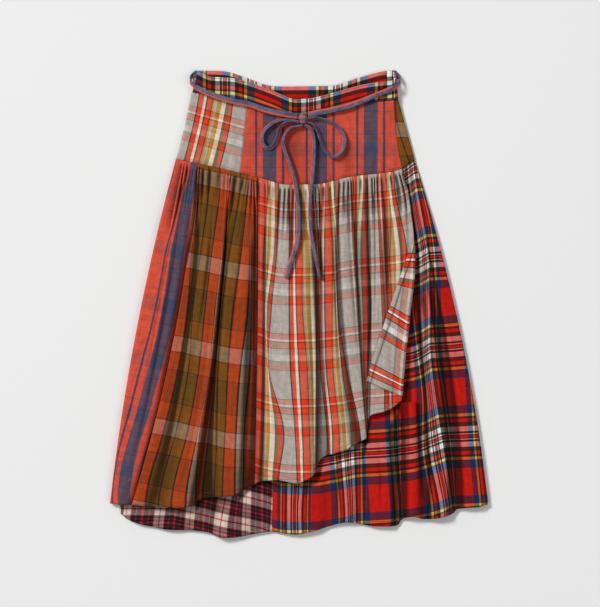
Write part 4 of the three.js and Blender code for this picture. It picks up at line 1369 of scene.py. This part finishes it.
EBONY_CREASES = [(12, 14, 0.5, 0.999, 4, -1.6), (66, 70, 0.5, 0.999, 5, 1.8), (136, 130, 0.6, 0.999, 5, -1.4),
                 (188, 190, 0.7, 0.999, 4, -1.4), (240, 246, 0.7, 0.999, 5, 1.4)]
CRIMSON_CREASES = [
    (60, 56, 0.7, 0.999, 4, -1.6), (74, 72, 0.75, 0.999, 3, 1.4), (120, 124, 0.7, 0.999, 5, -1.5),
    (182, 180, 0.7, 0.999, 4, 1.4), (210, 206, 0.75, 0.999, 4, -1.6), (275, 280, 0.03, 0.9, 5, -1.8),
    (300, 306, 0.05, 0.95, 4, -2.6), (322, 326, 0.03, 0.98, 5, -2.6), (336, 338, 0.02, 0.5, 4, -2.4),
    (345, 348, 0.3, 0.99, 4, -2),
    (365, 362, 0.05, 0.8, 4, -2), (392, 398, 0.03, 0.95, 5, -1.8), (414, 412, 0.1, 0.9, 4, 1.4),
]


UNDER_ROWS = 140
UNDER_GATHER_HEIGHT = 2.4
UNDER_LOWEST = 1.7


def under_rows(cloth, gathers, seed, creases):
    rows = []
    for j in range(UNDER_ROWS + 1):
        t = j / UNDER_ROWS
        head = 1.3 * (1 - smooth(0, 0.025, t))
        row = []
        for i, c in enumerate(cloth.cloth):
            x, y, rise = cloth.place(i, t)
            lift = rise * smooth(0.02, 0.3, t) + crease_lift(creases, c, t)
            if gathers:
                lift += gather_lift(i / cloth.columns, t, gathers, seed, UNDER_GATHER_HEIGHT)
            row.append(Vector((x, y + head, max(UNDER_LOWEST, under_flat(x, t) + lift * bared(x, y)))))
        rows.append(row)
    return rows


def beside_over_skirt(point):
    """Painted shadow on the under skirt close to the over skirt's hem and free edge, where light is lost."""
    if point.x < WRAP_CORNER_X:
        away = OVER_HEM(point.x) - point.y
    elif point.y > WRAP_CORNER_Y:
        away = point.x - wrap_edge(point.y)
    else:
        return 0
    return 0.55 * (1 - smooth(1, 17, away))


def side_share(head, foot, t):
    """The share of the skirt's side that is reached at the share t between two heights."""
    return min(max((SIDE_HEAD_Y - lerp(head, foot, t)) / SIDE_DROP, 0), 1)


def under_left(t):
    return bow(*OVER_LEFT, side_share(EBONY_HEAD, EBONY_FOOT, t)) + UNDER_INSET


def under_right(t):
    return bow(*UNDER_RIGHT, side_share(CRIMSON_HEAD, CRIMSON_FOOT, t))


ebony_rows = under_rows(FoldedCloth(EBONY_FOLDS, 2.2), 0, 0, EBONY_CREASES)
for j, row in enumerate(ebony_rows):
    t = j / UNDER_ROWS
    ebony_rows[j] = side_turn(under_left(t), side_line(EBONY_FOOT, t), under_flat(-190, t), -1) + row
UNDER_HEM_ROW = UNDER_ROWS - 2
stitch_row("ebony_hem_stitches", ebony_rows[UNDER_HEM_ROW][SIDE_COLUMNS::3], "1f1a1b")
panel("ebony_under_left_panel", ebony_rows, (EBONY_STATIONS, EBONY_YARNS), 565, ebony_check,
      ["under_left_panel"], -1, beside_over_skirt)

crimson_rows = under_rows(FoldedCloth(CRIMSON_FOLDS, 2.0), 15, 1.9, CRIMSON_CREASES)
for j, row in enumerate(crimson_rows):
    t = j / UNDER_ROWS
    top = lerp(yoke_level(200) - 1.8, UNDER_SIDE_LOFT, smooth(0.02, 0.3, t))
    crimson_rows[j] = row + side_turn(under_right(t), side_line(CRIMSON_FOOT, t), top, 1)[::-1]
stitch_row("crimson_hem_stitches", crimson_rows[UNDER_HEM_ROW][1:-14:2], "2a1212")
panel("crimson_under_front_panel", crimson_rows, (CRIMSON_STATIONS, CRIMSON_YARNS), 14, crimson_tartan,
      ["under_front_panel"], 1, beside_over_skirt)

# Under skirt's back: a plain piece of the same crimson tartan, flat on the surface between the two side seams
# and ungathered
PLAIN_BACK_ROWS = 60
PLAIN_BACK_STATIONS = (185.7,) + BACK_STATIONS + (-181,)
plain_back_rows = []
for j in range(PLAIN_BACK_ROWS + 1):
    t = j / PLAIN_BACK_ROWS
    left = under_left(t) + SIDE_RETURN + SEAM_GAP
    right = under_right(t) - SIDE_RETURN - SEAM_GAP
    row = []
    for station in PLAIN_BACK_STATIONS:
        s = (PLAIN_BACK_STATIONS[0] - station) / (PLAIN_BACK_STATIONS[0] - PLAIN_BACK_STATIONS[-1])
        foot = lerp(CRIMSON_FOOT, EBONY_FOOT, s) - 24 * math.sin(math.pi * s)
        row.append(Vector((lerp(right, left, s), side_line(foot, t)(station, 0), 0)))
    plain_back_rows.append(row)


def plain_back_thread(spot, reach, i, j):
    return (spot.x - 120, YOKE_SEAM(spot.x) - spot.y - 14)


under_back = rows_piece("crimson_under_back_panel", plain_back_rows, plain_back_thread, crimson_tartan, CLOTH,
                        ["under_back_panel"])

# Floor and light: plain pale grey paper, matt, laid flat and lit by a big soft box from the upper left and a
# weaker one opposite
FLOOR_COLOUR = "f1f1ef"
floor_mesh = bpy.data.meshes.new("paper_floor")
floor_bm = bmesh.new()
bmesh.ops.create_grid(floor_bm, x_segments=1, y_segments=1, size=9)
floor_bm.to_mesh(floor_mesh)
floor_bm.free()
floor = placed("paper_floor", floor_mesh)
paper, paper_tree, paper_shader = new_material("plain_pale_paper")
paper_shader.inputs["Base Color"].default_value = linear(FLOOR_COLOUR)
paper_shader.inputs["Roughness"].default_value = 0.95
floor_mesh.materials.append(paper)
floor.location.z = -0.0002
SOFT_BOX_SIZE = 3.0


def soft_box(name, place, power):
    """A square lamp that faces the skirt."""
    light_data = bpy.data.lights.new(name, "AREA")
    light_data.shape = "SQUARE"
    light_data.size = SOFT_BOX_SIZE
    light_data.energy = power
    light = placed(name, light_data)
    light.location = place
    light.rotation_euler = (Vector((0, 0, 0)) - Vector(place)).to_track_quat("-Z", "Y").to_euler()


soft_box("soft_box_upper_left", (-7.3, 5.6, 8.1), 1225)
soft_box("soft_box_fill_right", (3.6, -2.4, 4.2), 70)
world = bpy.data.worlds.new("even_room")
bpy.context.scene.world = world
world.use_nodes = True
world.node_tree.nodes["Background"].inputs[0].default_value = linear("f4f6fa")
world.node_tree.nodes["Background"].inputs[1].default_value = 0.3
bpy.context.scene.view_settings.view_transform = "Standard"
